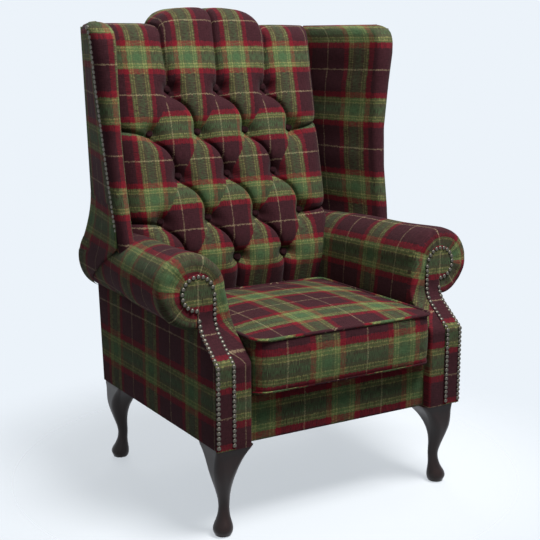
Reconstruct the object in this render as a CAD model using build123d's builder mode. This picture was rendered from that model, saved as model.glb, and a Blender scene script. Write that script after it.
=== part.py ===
from build123d import *
import os
from math import cos, radians, sin, tan

# A high-backed fireside wing chair: timber frame, sprung seat, deep-buttoned back,
# flared wings, scroll arms with nailed facings, cabriole legs and a loose box cushion.
# Axes: +X to the viewer's right with the chair facing the viewer, -Y to the front, +Z up.
# Origin: on the floor, on the mirror plane, midway between the foremost and rearmost points.
# "Right" and "left" are the viewer's.

# ---------------------------------------------------------------- driving dimensions, mm
overall_height = 1120
overall_depth = 720
leg_height = 200

cloth = 2
timber_gap = 1
seam_gap = 0.2
seat_gap = 0.5

# back: rear face, button plane and crest
rear_lean = 101
rear_rake = 4.65
pad_rake = 14.1
button_setback = 119
button_row_drop = 201
button_pitch_x = 136.8
button_pitch_z = 104
button_edge_x = 200
button_rows = 5
pad_rise = 37
back_half_width = 300
back_bevel = 52
back_bevel_depth = 72
back_bevel_slope = 0.15
back_bevel_pull = 1.6
shoulder_drop = 43
shoulder_roll = 14
crest_seam_setback = 19
sheet_top_z = 862
crest_cover = 35
crown_half_width = 162
pad_foot_setback = 210
pad_foot_rise = 70
pad_foot_lean = 8
lumbar_rise = 75
lumbar_radius = 120
crest_front_radius = 55
crest_rear_radius = 22
rear_nose_drop = 60
rear_roll_drop = 195
rear_roll_radius = 180
crown_side_drop = 13
crown_peak_rise = 1
crown_corner_radius = 45
crown_top_radius = 300
well_mouth_radius = 34
well_root_radius = 13.5
well_depth = 44
button_radius = 12.5
button_height = 9
button_clearance = 0.2
twine_radius = 1.2

# arms
arm_front_setback = 15
arm_inner_x = 237
arm_outer_x = 318
knee_z = 384
knee_top_z = 448
knee_setback = 80
knee_radius = 8
knee_sweep_radius = 55
scroll_radius = 79
scroll_x = 329
scroll_z = 524
scroll_edge = 18
roll_back_x = 296
roll_back_z = 515
roll_back_half_width = 60
roll_back_half_height = 75
arm_pad = 23
facing_thickness = 2.5
facing_inner_x = 278
facing_outer_x = 324
facing_scroll_x = 321
facing_scroll_z = 522
facing_scroll_radius = 41

# wings
wing_back_x = 322
wing_crease_x = 300
wing_crease_setback = 38
wing_base_z = 560
wing_nose = 28
wing_top_radius = 50
wing_rear_pull = 1.2
wing_top_drop = 35
wing_post_shares = (0, 0.12, 0.5, 1)

# frame timbers
rail_thickness = 25
rail_height = 80
post_thickness = 38
post_depth = 28
post_foot_depth = 60
arm_post_thickness = 49
arm_post_depth = 79
scroll_head_depth = 27
scroll_head_radius = 46
arm_rail_width = 36
arm_rail_height = 60
tacking_rail_width = 20
tacking_rail_height = 30
wing_post_width = 22
wing_post_depth = 34
wing_post_setback = 18
wing_post_lean = 9
back_rail_gap = 25
back_rail_height = 45
crest_rail_height = 110
corner_block_size = 62
corner_block_height = 40
front_rail_setback = 55

# suspension and platform
spring_wire_radius = 1.8
spring_count = 5
spring_pitch = 88
spring_half_width = 22
spring_bend_pitch = 25
spring_bend_radius = 11
webbing_thickness = 1.5
webbing_width = 50
webbing_columns = 3
webbing_rows = 4
hessian = 1
platform_pad = 16
border_pad = 10
border_edge = 9
clip_thickness = 2
clip_width = 16
clip_length = 20

# loose cushion
cushion_half_width = 235
cushion_depth = 466
cushion_boxing = 123
cushion_crown = 24
piping_stand = 3
cushion_front_radius = 58
cushion_back_radius = 22
piping_radius = 4
zip_half_length = 190
zip_width = 24
zip_coil_radius = 1.5
zip_slider_length = 12
zip_slider_height = 10
zip_slider_thickness = 3
zip_clearance = 0.3

# legs
leg_block = 88
leg_outer_x = 316
leg_front_setback = 27
foot_lean = 19
glide_radius = 11
glide_thickness = 2
bolt_radius = 4
bolt_in_leg = 45
bolt_in_frame = 45
hole_clearance = 0.1

# nails and screws
nail_radius = 4.8
nail_head = 3
nail_brow = 0.6
nail_brow_width = 0.78
nail_crown_width = 0.3
nail_shank_radius = 0.8
nail_shank = 9
nail_pitch = 10.6
nail_margin = 4.7
nail_start = 12
scroll_nail_gap = 85
wing_nail_low = 0.11
wing_nail_high = 0.975
wing_nail_turn = 30
screw_radius = 2.5
screw_length = 40
screw_head_depth = 25

# ---------------------------------------------------------------- derived places
front_y = -overall_depth / 2
back_y = overall_depth / 2
frame_bottom = leg_height
cover_bottom = frame_bottom
arm_front_y = front_y + arm_front_setback
scroll_y = arm_front_y + knee_setback
rear_foot_y = back_y - rear_lean
rear_slope = tan(radians(rear_rake))
pad_slope = tan(radians(pad_rake))
shoulder_z = overall_height - shoulder_drop
wing_top_z = shoulder_z - cloth
top_button_z = overall_height - button_row_drop
top_button_y = back_y - button_setback
rail_top = frame_bottom + rail_height
spring_z = rail_top + clip_thickness + seam_gap + spring_wire_radius
hessian_z = spring_z + spring_wire_radius + seam_gap
pad_z = hessian_z + hessian
deck_z = pad_z + platform_pad
deck_top = deck_z + cloth
cushion_z = deck_top + seat_gap
cushion_top_z = cushion_z + cushion_boxing
rail_front_y = front_y + front_rail_setback
border_y = rail_front_y - border_pad - cloth
leg_centre_x = leg_outer_x - leg_block / 2
leg_front_y = front_y + leg_front_setback + leg_block / 2
leg_back_y = rear_foot_y - cloth - timber_gap - leg_block / 2
post_inner_x = wing_crease_x - cloth - post_thickness
rail_outer_x = arm_outer_x - cloth
pad_inner_x = arm_inner_x + cloth + arm_pad
arm_post_inner_x = rail_outer_x - arm_post_thickness
wall_front_y = arm_front_y + facing_thickness
arm_seam_z = knee_top_z - cloth

os.makedirs("parts", exist_ok=True)


def rear_y(z):
    """Depth of the straight rear face at a height."""
    return rear_foot_y + rear_slope * (z - frame_bottom)


def button_y(z):
    """Depth of the plane that the buttons are pulled down to."""
    return top_button_y + pad_slope * (z - top_button_z)


# Local frame of the raked rear face: x across, y up the rake, +z into the chair.
rear_face = Plane(
    origin=(0, rear_foot_y, frame_bottom),
    x_dir=(1, 0, 0),
    z_dir=(0, -cos(radians(rear_rake)), sin(radians(rear_rake))),
)


def save(piece, node):
    piece.part.label = node
    export_step(piece.part, f"parts/{node}.step")


def save_pair(piece, node):
    """Write a right-hand piece and its mirror image."""
    save(piece, f"{node}_right")
    with BuildPart() as twin:
        mirror(piece.part, about=Plane.YZ)
    save(twin, f"{node}_left")


# ---------------------------------------------------------------- legs and their fixings
# Stations up the leg: height share, half width, distance out from the foot centre along
# the diagonal (negative = inward), and how round the section is (1 = circle).
leg_stations = [
    (0.0, 17, 0, 0.98),
    (0.045, 21, 0, 0.98),
    (0.09, 21.5, 0, 0.98),
    (0.16, 17, -3, 0.98),
    (0.25, 12.6, -6.5, 0.98),
    (0.33, 12, -8, 0.98),
    (0.45, 14.5, -5, 0.96),
    (0.58, 20, -1, 0.9),
    (0.72, 27, -1.5, 0.7),
    (0.85, 33.5, -10, 0.45),
    (0.94, 40, -20, 0.25),
    (1.0, leg_block / 2, -27, 0.12),
]


def leg(centre_y, out_y):
    """One cabriole leg of the right-hand side; out_y is -1 in front and +1 behind."""
    foot_x = leg_centre_x + foot_lean
    foot_y = centre_y + out_y * foot_lean
    with BuildPart() as solid:
        for share, half, out, roundness in leg_stations:
            z = glide_thickness + share * (leg_height - glide_thickness)
            shift = out / 2**0.5
            with BuildSketch(Plane.XY.offset(z)):
                with Locations((foot_x + shift, foot_y + out_y * shift)):
                    RectangleRounded(2 * half, 2 * half, roundness * half)
        loft()
        with Locations((leg_centre_x, centre_y, leg_height)):
            Cylinder(
                bolt_radius + hole_clearance,
                2 * bolt_in_leg,
                mode=Mode.SUBTRACT,
            )
    return solid


front_leg = leg(leg_front_y, -1)
back_leg = leg(leg_back_y, 1)
save_pair(front_leg, "front_leg")
save_pair(back_leg, "back_leg")

leg_places = [(sx * leg_centre_x, y) for sx in (-1, 1) for y in (leg_front_y, leg_back_y)]
foot_places = [
    (sx * (leg_centre_x + foot_lean), y)
    for sx in (-1, 1)
    for y in (leg_front_y - foot_lean, leg_back_y + foot_lean)
]

with BuildPart() as leg_bolts:
    with Locations(*[(x, y, leg_height - bolt_in_leg) for x, y in leg_places]):
        Cylinder(
            bolt_radius,
            bolt_in_leg + bolt_in_frame,
            align=(Align.CENTER, Align.CENTER, Align.MIN),
        )
save(leg_bolts, "leg_hanger_bolts")

with BuildPart() as glides:
    with Locations(*foot_places):
        Cylinder(glide_radius, glide_thickness, align=(Align.CENTER, Align.CENTER, Align.MIN))
save(glides, "foot_glides")


# ---------------------------------------------------------------- arm envelope
def front_line(inset, z_low, z_high):
    """Front edge of an arm seen from the side: upright, knee, hollow sweep, scroll plane."""
    return FilletPolyline(
        (arm_front_y + inset, z_low),
        (arm_front_y + inset, knee_z),
        (scroll_y + inset, knee_top_z),
        (scroll_y + inset, z_high),
        radius=[knee_radius, knee_sweep_radius],
    )


def arm_slab(inset, x_low, x_high, z_low, z_high, y_end):
    """A slice of the arm between two side planes, with the arm's front line."""
    with BuildPart() as slab:
        with BuildSketch(Plane.YZ.offset(x_low)):
            with BuildLine():
                edge = front_line(inset, z_low, z_high)
                Polyline(edge @ 1, (y_end, z_high), (y_end, z_low), edge @ 0)
            make_face()
        extrude(amount=x_high - x_low)
    return slab.part


def arm_roll(inset):
    """The rolled arm top: a round scroll in front that narrows towards the back."""
    start_y = scroll_y + facing_thickness + inset
    with BuildPart() as roll:
        with BuildSketch(Plane.XZ.offset(-start_y)):
            with Locations((scroll_x, scroll_z)):
                Circle(scroll_radius - inset)
        with BuildSketch(Plane.XZ.offset(-back_y)):
            with Locations((roll_back_x, roll_back_z)):
                Ellipse(roll_back_half_width - inset, roll_back_half_height - inset)
        loft()
        front_edge = roll.edges().group_by(Axis.Y)[0]
        fillet(front_edge, scroll_edge)
    return roll.part


def arm_wall(inset, z_low):
    """Upright part of the arm, sloped inside up to the widest part of the roll."""
    with BuildPart() as wall:
        for y, x_top, x_mid, z_top in (
            (arm_front_y, scroll_x - scroll_radius, scroll_x, scroll_z),
            (back_y, roll_back_x - roll_back_half_width, roll_back_x, roll_back_z),
        ):
            with BuildSketch(Plane.XZ.offset(-y)):
                with BuildLine():
                    Polyline(
                        (arm_inner_x + inset, z_low),
                        (arm_inner_x + inset, knee_top_z),
                        (x_top + inset, z_top),
                        (x_mid, z_top),
                        (arm_outer_x - inset, knee_top_z),
                        (arm_outer_x - inset, z_low),
                        close=True,
                    )
                make_face()
        loft(ruled=True)
        front = facing_thickness + inset
        add(
            arm_slab(front, 0, overall_depth, z_low, overall_height, back_y),
            mode=Mode.INTERSECT,
        )
    return wall.part


def arm_body(inset, z_low):
    """Whole arm, inset all round, ended behind by the raked rear face."""
    with BuildPart() as body:
        add(arm_wall(inset, z_low))
        add(arm_roll(inset))
        split(bisect_by=rear_face.offset(cloth + inset), keep=Keep.TOP)
    return body.part


arm_outside = arm_body(0, cover_bottom)
arm_inside = arm_body(cloth, cover_bottom - cloth)


def under_deck_room():
    """Space below the deck, behind the front border, that the arm's inner wall stays out of."""
    with BuildPart() as room:
        with Locations(((arm_inner_x - cloth), rail_front_y, 0)):
            Box(
                pad_inner_x - arm_inner_x + cloth,
                2 * overall_depth,
                deck_top,
                align=(Align.MIN, Align.MIN, Align.MIN),
            )
    return room.part


deck_room = under_deck_room()


# ---------------------------------------------------------------- seat frame
def front_rail():
    with BuildPart() as rail:
        with Locations((0, rail_front_y, frame_bottom)):
            Box(
                2 * arm_post_inner_x,
                rail_thickness,
                rail_height,
                align=(Align.CENTER, Align.MIN, Align.MIN),
            )
    return rail


save(front_rail(), "front_seat_rail")

post_foot_y = rear_y(frame_bottom) - cloth - timber_gap - post_foot_depth


def back_rail():
    with BuildPart() as rail:
        with Locations((0, post_foot_y, frame_bottom)):
            Box(
                2 * post_inner_x,
                rail_thickness,
                rail_height,
                align=(Align.CENTER, Align.MIN, Align.MIN),
            )
    return rail


save(back_rail(), "back_seat_rail")

arm_post_back_y = wall_front_y + cloth + arm_post_depth


def side_rail():
    with BuildPart() as rail:
        with Locations((rail_outer_x, arm_post_back_y, frame_bottom)):
            Box(
                rail_thickness,
                post_foot_y - arm_post_back_y,
                rail_height,
                align=(Align.MAX, Align.MIN, Align.MIN),
            )
    return rail


save_pair(side_rail(), "side_seat_rail")


def back_post():
    """Raked back post: deep and wide up to the arm, slimmer behind the wing."""
    foot_top = wing_base_z - frame_bottom
    rake = rear_face.offset(cloth + timber_gap)
    with BuildPart() as post:
        with BuildSketch(rake):
            with Locations((post_inner_x, -post_depth)):
                Rectangle(
                    rail_outer_x - post_inner_x,
                    foot_top + post_depth,
                    align=(Align.MIN, Align.MIN),
                )
        extrude(amount=post_foot_depth)
        with BuildSketch(rake):
            with Locations((post_inner_x, foot_top)):
                Rectangle(
                    post_thickness,
                    shoulder_z - frame_bottom - foot_top - post_depth,
                    align=(Align.MIN, Align.MIN),
                )
        extrude(amount=post_depth)
        split(bisect_by=Plane.XY.offset(frame_bottom), keep=Keep.TOP)
        with Locations((leg_centre_x, leg_back_y, frame_bottom)):
            Cylinder(bolt_radius + hole_clearance, 2 * bolt_in_frame, mode=Mode.SUBTRACT)
    return post


right_back_post = back_post()
save_pair(right_back_post, "back_post")


def arm_post():
    """Front post sawn to the arm's side profile, with the turned scroll head on top."""
    with BuildPart() as post:
        add(
            arm_slab(
                facing_thickness + cloth,
                arm_post_inner_x,
                rail_outer_x,
                frame_bottom,
                scroll_z,
                arm_post_back_y + knee_setback / 2,
            )
        )
        with BuildSketch(Plane.YZ.offset(arm_post_inner_x)):
            with Locations((arm_post_back_y, frame_bottom)):
                Rectangle(knee_setback, knee_z - frame_bottom, align=(Align.MIN, Align.MIN))
        extrude(amount=arm_post_thickness, mode=Mode.SUBTRACT)
        with BuildSketch(Plane.XZ.offset(-(scroll_y + facing_thickness + cloth))):
            with Locations((scroll_x, scroll_z)):
                Circle(scroll_head_radius)
        extrude(amount=-scroll_head_depth)
        with Locations((leg_centre_x, leg_front_y, frame_bottom)):
            Cylinder(bolt_radius + hole_clearance, 2 * bolt_in_frame, mode=Mode.SUBTRACT)
    return post


right_arm_post = arm_post()
save_pair(right_arm_post, "arm_post")


def corner_blocks():
    """Triangular blocks glued into the four inner corners of the seat frame."""
    front_corner = (arm_post_inner_x, rail_front_y + rail_thickness)
    with BuildPart() as blocks:
        with BuildSketch(Plane.XY.offset(frame_bottom + timber_gap)):
            with BuildLine():
                x, y = front_corner
                Polyline(
                    (x, y), (x - corner_block_size, y), (x, y + corner_block_size), close=True
                )
            make_face()
            with BuildLine():
                x, y = post_inner_x, post_foot_y
                Polyline(
                    (x, y), (x - corner_block_size, y), (x, y - corner_block_size), close=True
                )
            make_face()
            mirror(about=Plane.YZ)
        extrude(amount=corner_block_height)
    return blocks


save(corner_blocks(), "corner_blocks")


def block_screws():
    """Two screws through each corner block into the rails beside it."""
    z = frame_bottom + timber_gap + corner_block_height / 2
    reach = corner_block_size / 3
    front_x, front_corner_y = arm_post_inner_x, rail_front_y + rail_thickness
    places = []
    for sx in (-1, 1):
        places.append(((sx * (front_x - reach), front_corner_y, z), (0, -1, 0)))
        places.append(((sx * front_x, front_corner_y + reach, z), (sx, 0, 0)))
        places.append(((sx * (post_inner_x - reach), post_foot_y, z), (0, 1, 0)))
        places.append(((sx * post_inner_x, post_foot_y - reach, z), (sx, 0, 0)))
    with BuildPart() as screws:
        with Locations(*[Plane(origin=at, z_dir=way) for at, way in places]):
            with Locations((0, 0, -screw_head_depth)):
                Cylinder(
                    screw_radius, screw_length, align=(Align.CENTER, Align.CENTER, Align.MIN)
                )
    return screws


# ---------------------------------------------------------------- arm timbers
def arm_top_rail():
    """Rail inside the roll, from the front post's head to the back post."""
    rail_y = scroll_y + facing_thickness + cloth + scroll_head_depth
    with BuildPart() as rail:
        with BuildSketch(Plane.XZ.offset(-rail_y)):
            with Locations((rail_outer_x, roll_back_z)):
                Rectangle(arm_rail_width, arm_rail_height, align=(Align.MAX, Align.CENTER))
        extrude(until=Until.NEXT, target=right_back_post.part, dir=(0, 1, 0))
        add(right_arm_post.part, mode=Mode.SUBTRACT)
    return rail


def arm_tacking_rail():
    """Low inner rail that the inside arm cover is tacked to, just above the deck."""
    with BuildPart() as rail:
        with BuildSketch(Plane.XZ.offset(-arm_post_back_y)):
            with Locations((pad_inner_x, deck_top)):
                Rectangle(
                    tacking_rail_width, tacking_rail_height, align=(Align.MIN, Align.MIN)
                )
        extrude(until=Until.NEXT, target=right_back_post.part, dir=(0, 1, 0))
    return rail


save(block_screws(), "corner_block_screws")
right_arm_rail = arm_top_rail()
save_pair(right_arm_rail, "arm_top_rail")
right_tacking_rail = arm_tacking_rail()
with BuildPart() as tacking_rails:
    add(right_tacking_rail.part)
    mirror(about=Plane.YZ)
save(tacking_rails, "arm_tacking_rails")


# ---------------------------------------------------------------- arm upholstery
def below_roll(x_low):
    """The arm's side slab below the roll's outer seam, from a side plane outwards."""
    inset = facing_thickness + cloth
    with BuildPart() as slab:
        add(arm_slab(inset, x_low, arm_outer_x, cover_bottom, scroll_z, back_y))
        split(bisect_by=Plane.XY.offset(arm_seam_z), keep=Keep.BOTTOM)
        split(bisect_by=rear_face.offset(cloth), keep=Keep.TOP)
    return slab


def inside_arm_cover():
    """Cloth from the deck up the inner wall, over the roll and round to its seam below."""
    with BuildPart() as cover:
        add(arm_outside)
        add(arm_inside, mode=Mode.SUBTRACT)
        add(deck_room, mode=Mode.SUBTRACT)
        add(below_roll(pad_inner_x).part, mode=Mode.SUBTRACT)
        for timber in (right_wing_post, right_back_post, tacking):
            add(timber.part, mode=Mode.SUBTRACT)
    return cover


def arm_padding():
    """Foam on the inner wall and round the roll, with the timbers let into it."""
    with BuildPart() as padding:
        add(arm_inside)
        add(deck_room, mode=Mode.SUBTRACT)
        with Locations((pad_inner_x, 0, 0)):
            Box(
                arm_outer_x,
                2 * overall_depth,
                arm_seam_z,
                align=(Align.MIN, Align.CENTER, Align.MIN),
                mode=Mode.SUBTRACT,
            )
        for timber in (
            right_arm_post,
            right_arm_rail,
            right_tacking_rail,
            right_back_post,
            right_wing_post,
            tacking,
        ):
            add(timber.part, mode=Mode.SUBTRACT)
        split(bisect_by=Plane.XY.offset(frame_bottom), keep=Keep.TOP)
    return padding


def arm_facing():
    """Narrow facing up the front of the arm with a round head over the scroll."""
    with BuildPart() as facing:
        with BuildSketch(Plane.XZ.offset(-arm_front_y)):
            with Locations((facing_inner_x, cover_bottom + nail_margin)):
                Rectangle(
                    facing_outer_x - facing_inner_x,
                    facing_scroll_z - cover_bottom - nail_margin,
                    align=(Align.MIN, Align.MIN),
                )
            with Locations((facing_scroll_x, facing_scroll_z)):
                Circle(facing_scroll_radius)
        extrude(amount=-2 * knee_setback)
        add(
            arm_slab(0, 0, overall_depth, cover_bottom, overall_height, back_y),
            mode=Mode.INTERSECT,
        )
        add(
            arm_slab(facing_thickness, 0, overall_depth, 0, overall_height, back_y),
            mode=Mode.SUBTRACT,
        )
    return facing


# ---------------------------------------------------------------- back envelope
def back_outline(top_z, roll):
    """Side outline of the padded back: bulged inside, rolled crest, straight rear face."""
    pad_foot_y = back_y - pad_foot_setback
    lumbar_z = cushion_top_z + lumbar_rise
    rear_nose_y = rear_y(top_z) + roll
    rear_start_z = top_z - rear_roll_drop
    foot_rear_y = rear_y(cover_bottom) - post_foot_depth
    return FilletPolyline(
        (pad_foot_y, deck_top),
        (pad_foot_y - pad_foot_lean, deck_top + pad_foot_rise),
        (button_y(lumbar_z) - pad_rise, lumbar_z),
        (button_y(top_z) - pad_rise, top_z),
        (rear_nose_y, top_z),
        (rear_nose_y, top_z - rear_nose_drop),
        (rear_y(rear_start_z), rear_start_z),
        (rear_y(cover_bottom), cover_bottom),
        (foot_rear_y, cover_bottom),
        (foot_rear_y, deck_top),
        radius=[
            0,
            lumbar_radius,
            lumbar_radius,
            crest_front_radius,
            crest_rear_radius,
            rear_nose_drop / 2,
            rear_roll_radius,
            0,
            0,
            0,
        ],
        close=True,
    )


def crown_front(inset):
    """Front view of the raised middle of the crest, as a prism through the back."""
    half = crown_half_width - inset
    corner_z = overall_height - crown_side_drop - inset
    with BuildPart() as prism:
        with BuildSketch(Plane.XZ.offset(-back_y - shoulder_roll)):
            with BuildLine():
                FilletPolyline(
                    (half, deck_top),
                    (half, corner_z),
                    (0, overall_height + crown_peak_rise - inset),
                    (-half, corner_z),
                    (-half, deck_top),
                    radius=[0, crown_corner_radius, crown_top_radius, crown_corner_radius, 0],
                    close=True,
                )
            make_face()
        extrude(amount=overall_depth)
    return prism.part


def back_slab(top_z, roll, inset, half_width):
    """The back's side outline, drawn in all round by the inset, across a width."""
    with BuildPart() as slab:
        with BuildSketch(Plane.YZ.offset(-half_width)):
            with BuildLine():
                back_outline(top_z, roll)
            make_face()
            if inset:
                offset(amount=-inset)
        extrude(amount=2 * half_width)
    return slab.part


def bevel_plane(side, inset):
    """Sloping face where the padding falls away to the wing on one side."""
    return Plane(
        origin=(
            side * (back_half_width - back_bevel),
            top_button_y - pad_rise + back_bevel_pull * inset,
            top_button_z,
        ),
        z_dir=(-side * back_bevel_depth, back_bevel, -back_bevel_slope * back_bevel),
    )


def button_planes(sink):
    """A plane at each button, facing out of the padding, sunk below the button plane."""
    out = Vector(0, -cos(radians(pad_rake)), sin(radians(pad_rake)))
    planes = []
    for row in range(button_rows):
        z = top_button_z - row * button_pitch_z
        if row % 2 == 0:
            columns = [-button_pitch_x, 0, button_pitch_x]
        else:
            half = button_pitch_x / 2
            columns = [-button_edge_x, -half, half, button_edge_x]
        for x in columns:
            planes.append(Plane(origin=Vector(x, button_y(z), z) - out * sink, z_dir=out))
    return planes


def shoulder_body(inset):
    """The back without its raised crown, sloped away to the wing at each side."""
    with BuildPart() as body:
        add(back_slab(shoulder_z, shoulder_roll, inset, back_half_width - inset))
        split(bisect_by=bevel_plane(1, inset), keep=Keep.TOP)
        split(bisect_by=bevel_plane(-1, inset), keep=Keep.TOP)
    return body.part


def back_body(inset):
    """The padded back, inset all round, with a well at every button."""
    with BuildPart() as body:
        add(back_slab(overall_height, crest_roll, inset, crown_half_width - inset))
        add(crown_front(inset), mode=Mode.INTERSECT)
        add(shoulder_body(inset))
        with Locations(*button_planes(inset)):
            Cone(
                well_root_radius + inset,
                well_mouth_radius + inset,
                well_depth,
                align=(Align.CENTER, Align.CENTER, Align.MIN),
                mode=Mode.SUBTRACT,
            )
        add(arm_outside, mode=Mode.SUBTRACT)
        mirror(arm_outside, about=Plane.YZ, mode=Mode.SUBTRACT)
        with Locations((0, 0, deck_top)):
            Box(
                overall_height,
                2 * overall_depth,
                deck_top,
                align=(Align.CENTER, Align.CENTER, Align.MAX),
                mode=Mode.SUBTRACT,
            )
    return body.part


crest_roll = rear_lean - rear_slope * (overall_height - frame_bottom)
back_outside = back_body(0)
back_inside = back_body(cloth)

seam_plane = Plane(
    origin=(0, rear_y(sheet_top_z) - post_depth / 2, sheet_top_z),
    z_dir=(
        0,
        overall_height - sheet_top_z,
        rear_y(sheet_top_z) - post_depth / 2 - rear_y(overall_height) - crest_seam_setback,
    ),
)


def rake_box(x_half, z_low, z_high, near, far):
    """A box laid against the raked rear face, between two depths measured from it."""
    rise = 1 / cos(radians(rear_rake))
    with BuildPart() as box:
        with BuildSketch(rear_face.offset(near)):
            with Locations((0, (z_low - frame_bottom) * rise)):
                Rectangle(2 * x_half, (z_high - z_low) * rise, align=(Align.CENTER, Align.MIN))
        extrude(amount=far - near)
    return box.part


# ---------------------------------------------------------------- back timbers and webbing
timber_depth = cloth + timber_gap
web_face = timber_depth + post_depth


def crest_rail():
    """Top rail between the back posts, sawn to the crest's curve."""
    low = shoulder_z - crest_rail_height - post_depth
    with BuildPart() as rail:
        add(crown_front(crest_cover))
        with Locations((0, 0, low)):
            Box(
                2 * post_inner_x,
                2 * overall_depth,
                crest_rail_height,
                align=(Align.CENTER, Align.CENTER, Align.MIN),
            )
        add(
            rake_box(post_inner_x, low, overall_height, timber_depth, web_face),
            mode=Mode.INTERSECT,
        )
    return rail


def back_tacking_rail():
    """Low cross rail between the back posts, where the inside cover is pulled through."""
    low = deck_top + back_rail_gap
    with BuildPart() as rail:
        add(rake_box(post_inner_x, low, low + back_rail_height, timber_depth, web_face))
    return rail


def back_webbing():
    """Stretched straps, uprights over the cross rails and cross straps between the posts."""
    low = deck_top + back_rail_gap
    high = shoulder_z - post_depth - webbing_width
    over = web_face + webbing_thickness
    with BuildPart() as straps:
        for column in range(webbing_columns):
            x = (column - (webbing_columns - 1) / 2) * button_pitch_x
            add(
                rake_box(webbing_width / 2, low, high, web_face, over).moved(
                    Location((x, 0, 0))
                )
            )
        for row in range(webbing_rows):
            z = wing_base_z + webbing_width + row * button_pitch_z
            reach = post_inner_x + post_thickness / 2
            add(rake_box(reach, z, z + webbing_width, web_face, over))
    return straps


crest = crest_rail()
tacking = back_tacking_rail()
webbing = back_webbing()
save(crest, "crest_rail")
save(tacking, "back_tacking_rail")
save(webbing, "back_webbing")


# ---------------------------------------------------------------- back upholstery
def inside_back_cover():
    """Cloth over the padding, down into each well and over the crest to its rear seam."""
    with BuildPart() as cover:
        add(back_outside)
        add(back_inside, mode=Mode.SUBTRACT)
        split(bisect_by=seam_plane, keep=Keep.BOTTOM)
        with Locations((0, rear_foot_y, 0)):
            Box(
                2 * overall_height,
                post_foot_depth * 2 + cloth,
                deck_top + cushion_boxing,
                align=(Align.CENTER, Align.CENTER, Align.MIN),
                mode=Mode.SUBTRACT,
            )
    return cover


def outside_back_cover():
    """Flat rear panel, carried on up the back of the rolled crest."""
    with BuildPart() as cover:
        add(back_outside)
        add(back_inside, mode=Mode.SUBTRACT)
        split(bisect_by=seam_plane, keep=Keep.TOP)
        split(bisect_by=Plane.XY.offset(sheet_top_z), keep=Keep.TOP)
        add(rake_box(wing_back_x, wing_base_z, sheet_top_z, 0, cloth))
        add(rake_box(arm_outer_x, cover_bottom, wing_base_z, 0, cloth))
        strip = (wing_back_x - wing_crease_x) / 2
        for side in (-1, 1):
            edge = rake_box(strip, sheet_top_z, wing_top_z, 0, cloth)
            add(edge.moved(Location((side * (wing_crease_x + strip), 0, 0))))
    return cover


def back_foam():
    """Foam from the webbing to the cover, wrapped over the crest rail."""
    with BuildPart() as foam:
        add(back_inside)
        add(
            rake_box(
                post_inner_x,
                cover_bottom,
                shoulder_z - crest_rail_height - post_depth,
                0,
                web_face + webbing_thickness,
            ),
            mode=Mode.SUBTRACT,
        )
        for timber in (right_back_post, crest, webbing):
            add(timber.part, mode=Mode.SUBTRACT)
        mirror(right_back_post.part, about=Plane.YZ, mode=Mode.SUBTRACT)
    return foam


def back_buttons():
    """Covered buttons, flat behind and domed in front."""
    with BuildPart() as buttons:
        with Locations(*button_planes(-button_clearance)):
            Cylinder(
                button_radius,
                button_height / 3,
                align=(Align.CENTER, Align.CENTER, Align.MIN),
            )
            with Locations((0, 0, button_height / 3)):
                Cone(
                    button_radius,
                    button_radius / 3,
                    button_height * 2 / 3,
                    align=(Align.CENTER, Align.CENTER, Align.MIN),
                )
    return buttons


def button_twines():
    """Twine from each button through the padding, tied off behind the webbing."""
    with BuildPart() as twines:
        for plane in button_planes(-button_clearance):
            gap = rear_y(plane.origin.Z) - plane.origin.Y - web_face
            with Locations(plane):
                Cylinder(twine_radius, gap, align=(Align.CENTER, Align.CENTER, Align.MAX))
    return twines


inside_back = inside_back_cover()
outside_back = outside_back_cover()
foam = back_foam()
save(inside_back, "inside_back_cover")
save(outside_back, "outside_back_cover")
save(foam, "back_foam")
save(back_buttons(), "back_buttons")
save(button_twines(), "button_twines")


# ---------------------------------------------------------------- wings
# Stations up the wing: height share, nailed corner x and y behind the arm front, inner face x.
wing_stations = [
    (0.0, 371, 362, 337),
    (0.12, 376, 374, 340),
    (0.31, 380, 394, 342),
    (0.5, 386, 405, 345),
    (0.72, 399, 405, 349),
    (0.865, 407, 401, 352),
    (1.0, 411, 405, 354),
]

wing_seam_share = 0.06
wing_seam_inset = 3


def wing_corner(share):
    """Nailed corner and inner face of the wing at a height share, between the stations."""
    for low, high in zip(wing_stations, wing_stations[1:]):
        if share <= high[0]:
            break
    t = (share - low[0]) / (high[0] - low[0])
    return [a + t * (b - a) for a, b in zip(low[1:], high[1:])]


def wing_body(inset):
    """One wing: a flared slab with a rounded nose, cut to its side view."""
    with BuildPart() as wing:
        for share, corner_x, corner_back, face_x in wing_stations:
            z = wing_base_z + share * (wing_top_z - wing_base_z)
            corner_y = arm_front_y + corner_back
            with BuildSketch(Plane.XY.offset(z)):
                with BuildLine():
                    pull = wing_rear_pull * inset
                    crease = (wing_crease_x + pull / 2, rear_y(z) - wing_crease_setback + pull)
                    face = (face_x + inset, corner_y - wing_nose / 3 + inset)
                    nose = ((corner_x + face_x) / 2, corner_y - wing_nose + inset)
                    corner = (corner_x - inset, corner_y + inset)
                    Line(crease, face)
                    ThreePointArc(face, nose, corner)
                    rear = (wing_back_x - pull / 2, rear_y(z) - cloth - seam_gap - pull)
                    inner_rear = (crease[0], rear[1])
                    Polyline(corner, rear, inner_rear, crease)
                make_face()
        loft()
        top = wing_top_z - inset
        front = arm_front_y + wing_stations[-1][2] - wing_nose + inset
        with BuildSketch(Plane.YZ):
            with BuildLine():
                edge = FilletPolyline(
                    (front - wing_nose * 2, wing_base_z),
                    (front - wing_nose * 2, top - wing_top_radius),
                    (front, top - wing_top_radius),
                    (front, top),
                    (back_y, top),
                    radius=[0, 0, wing_top_radius - cloth],
                )
                Polyline(edge @ 1, (back_y, wing_base_z), edge @ 0)
            make_face()
        extrude(amount=overall_height, mode=Mode.INTERSECT)
    return wing.part


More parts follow.
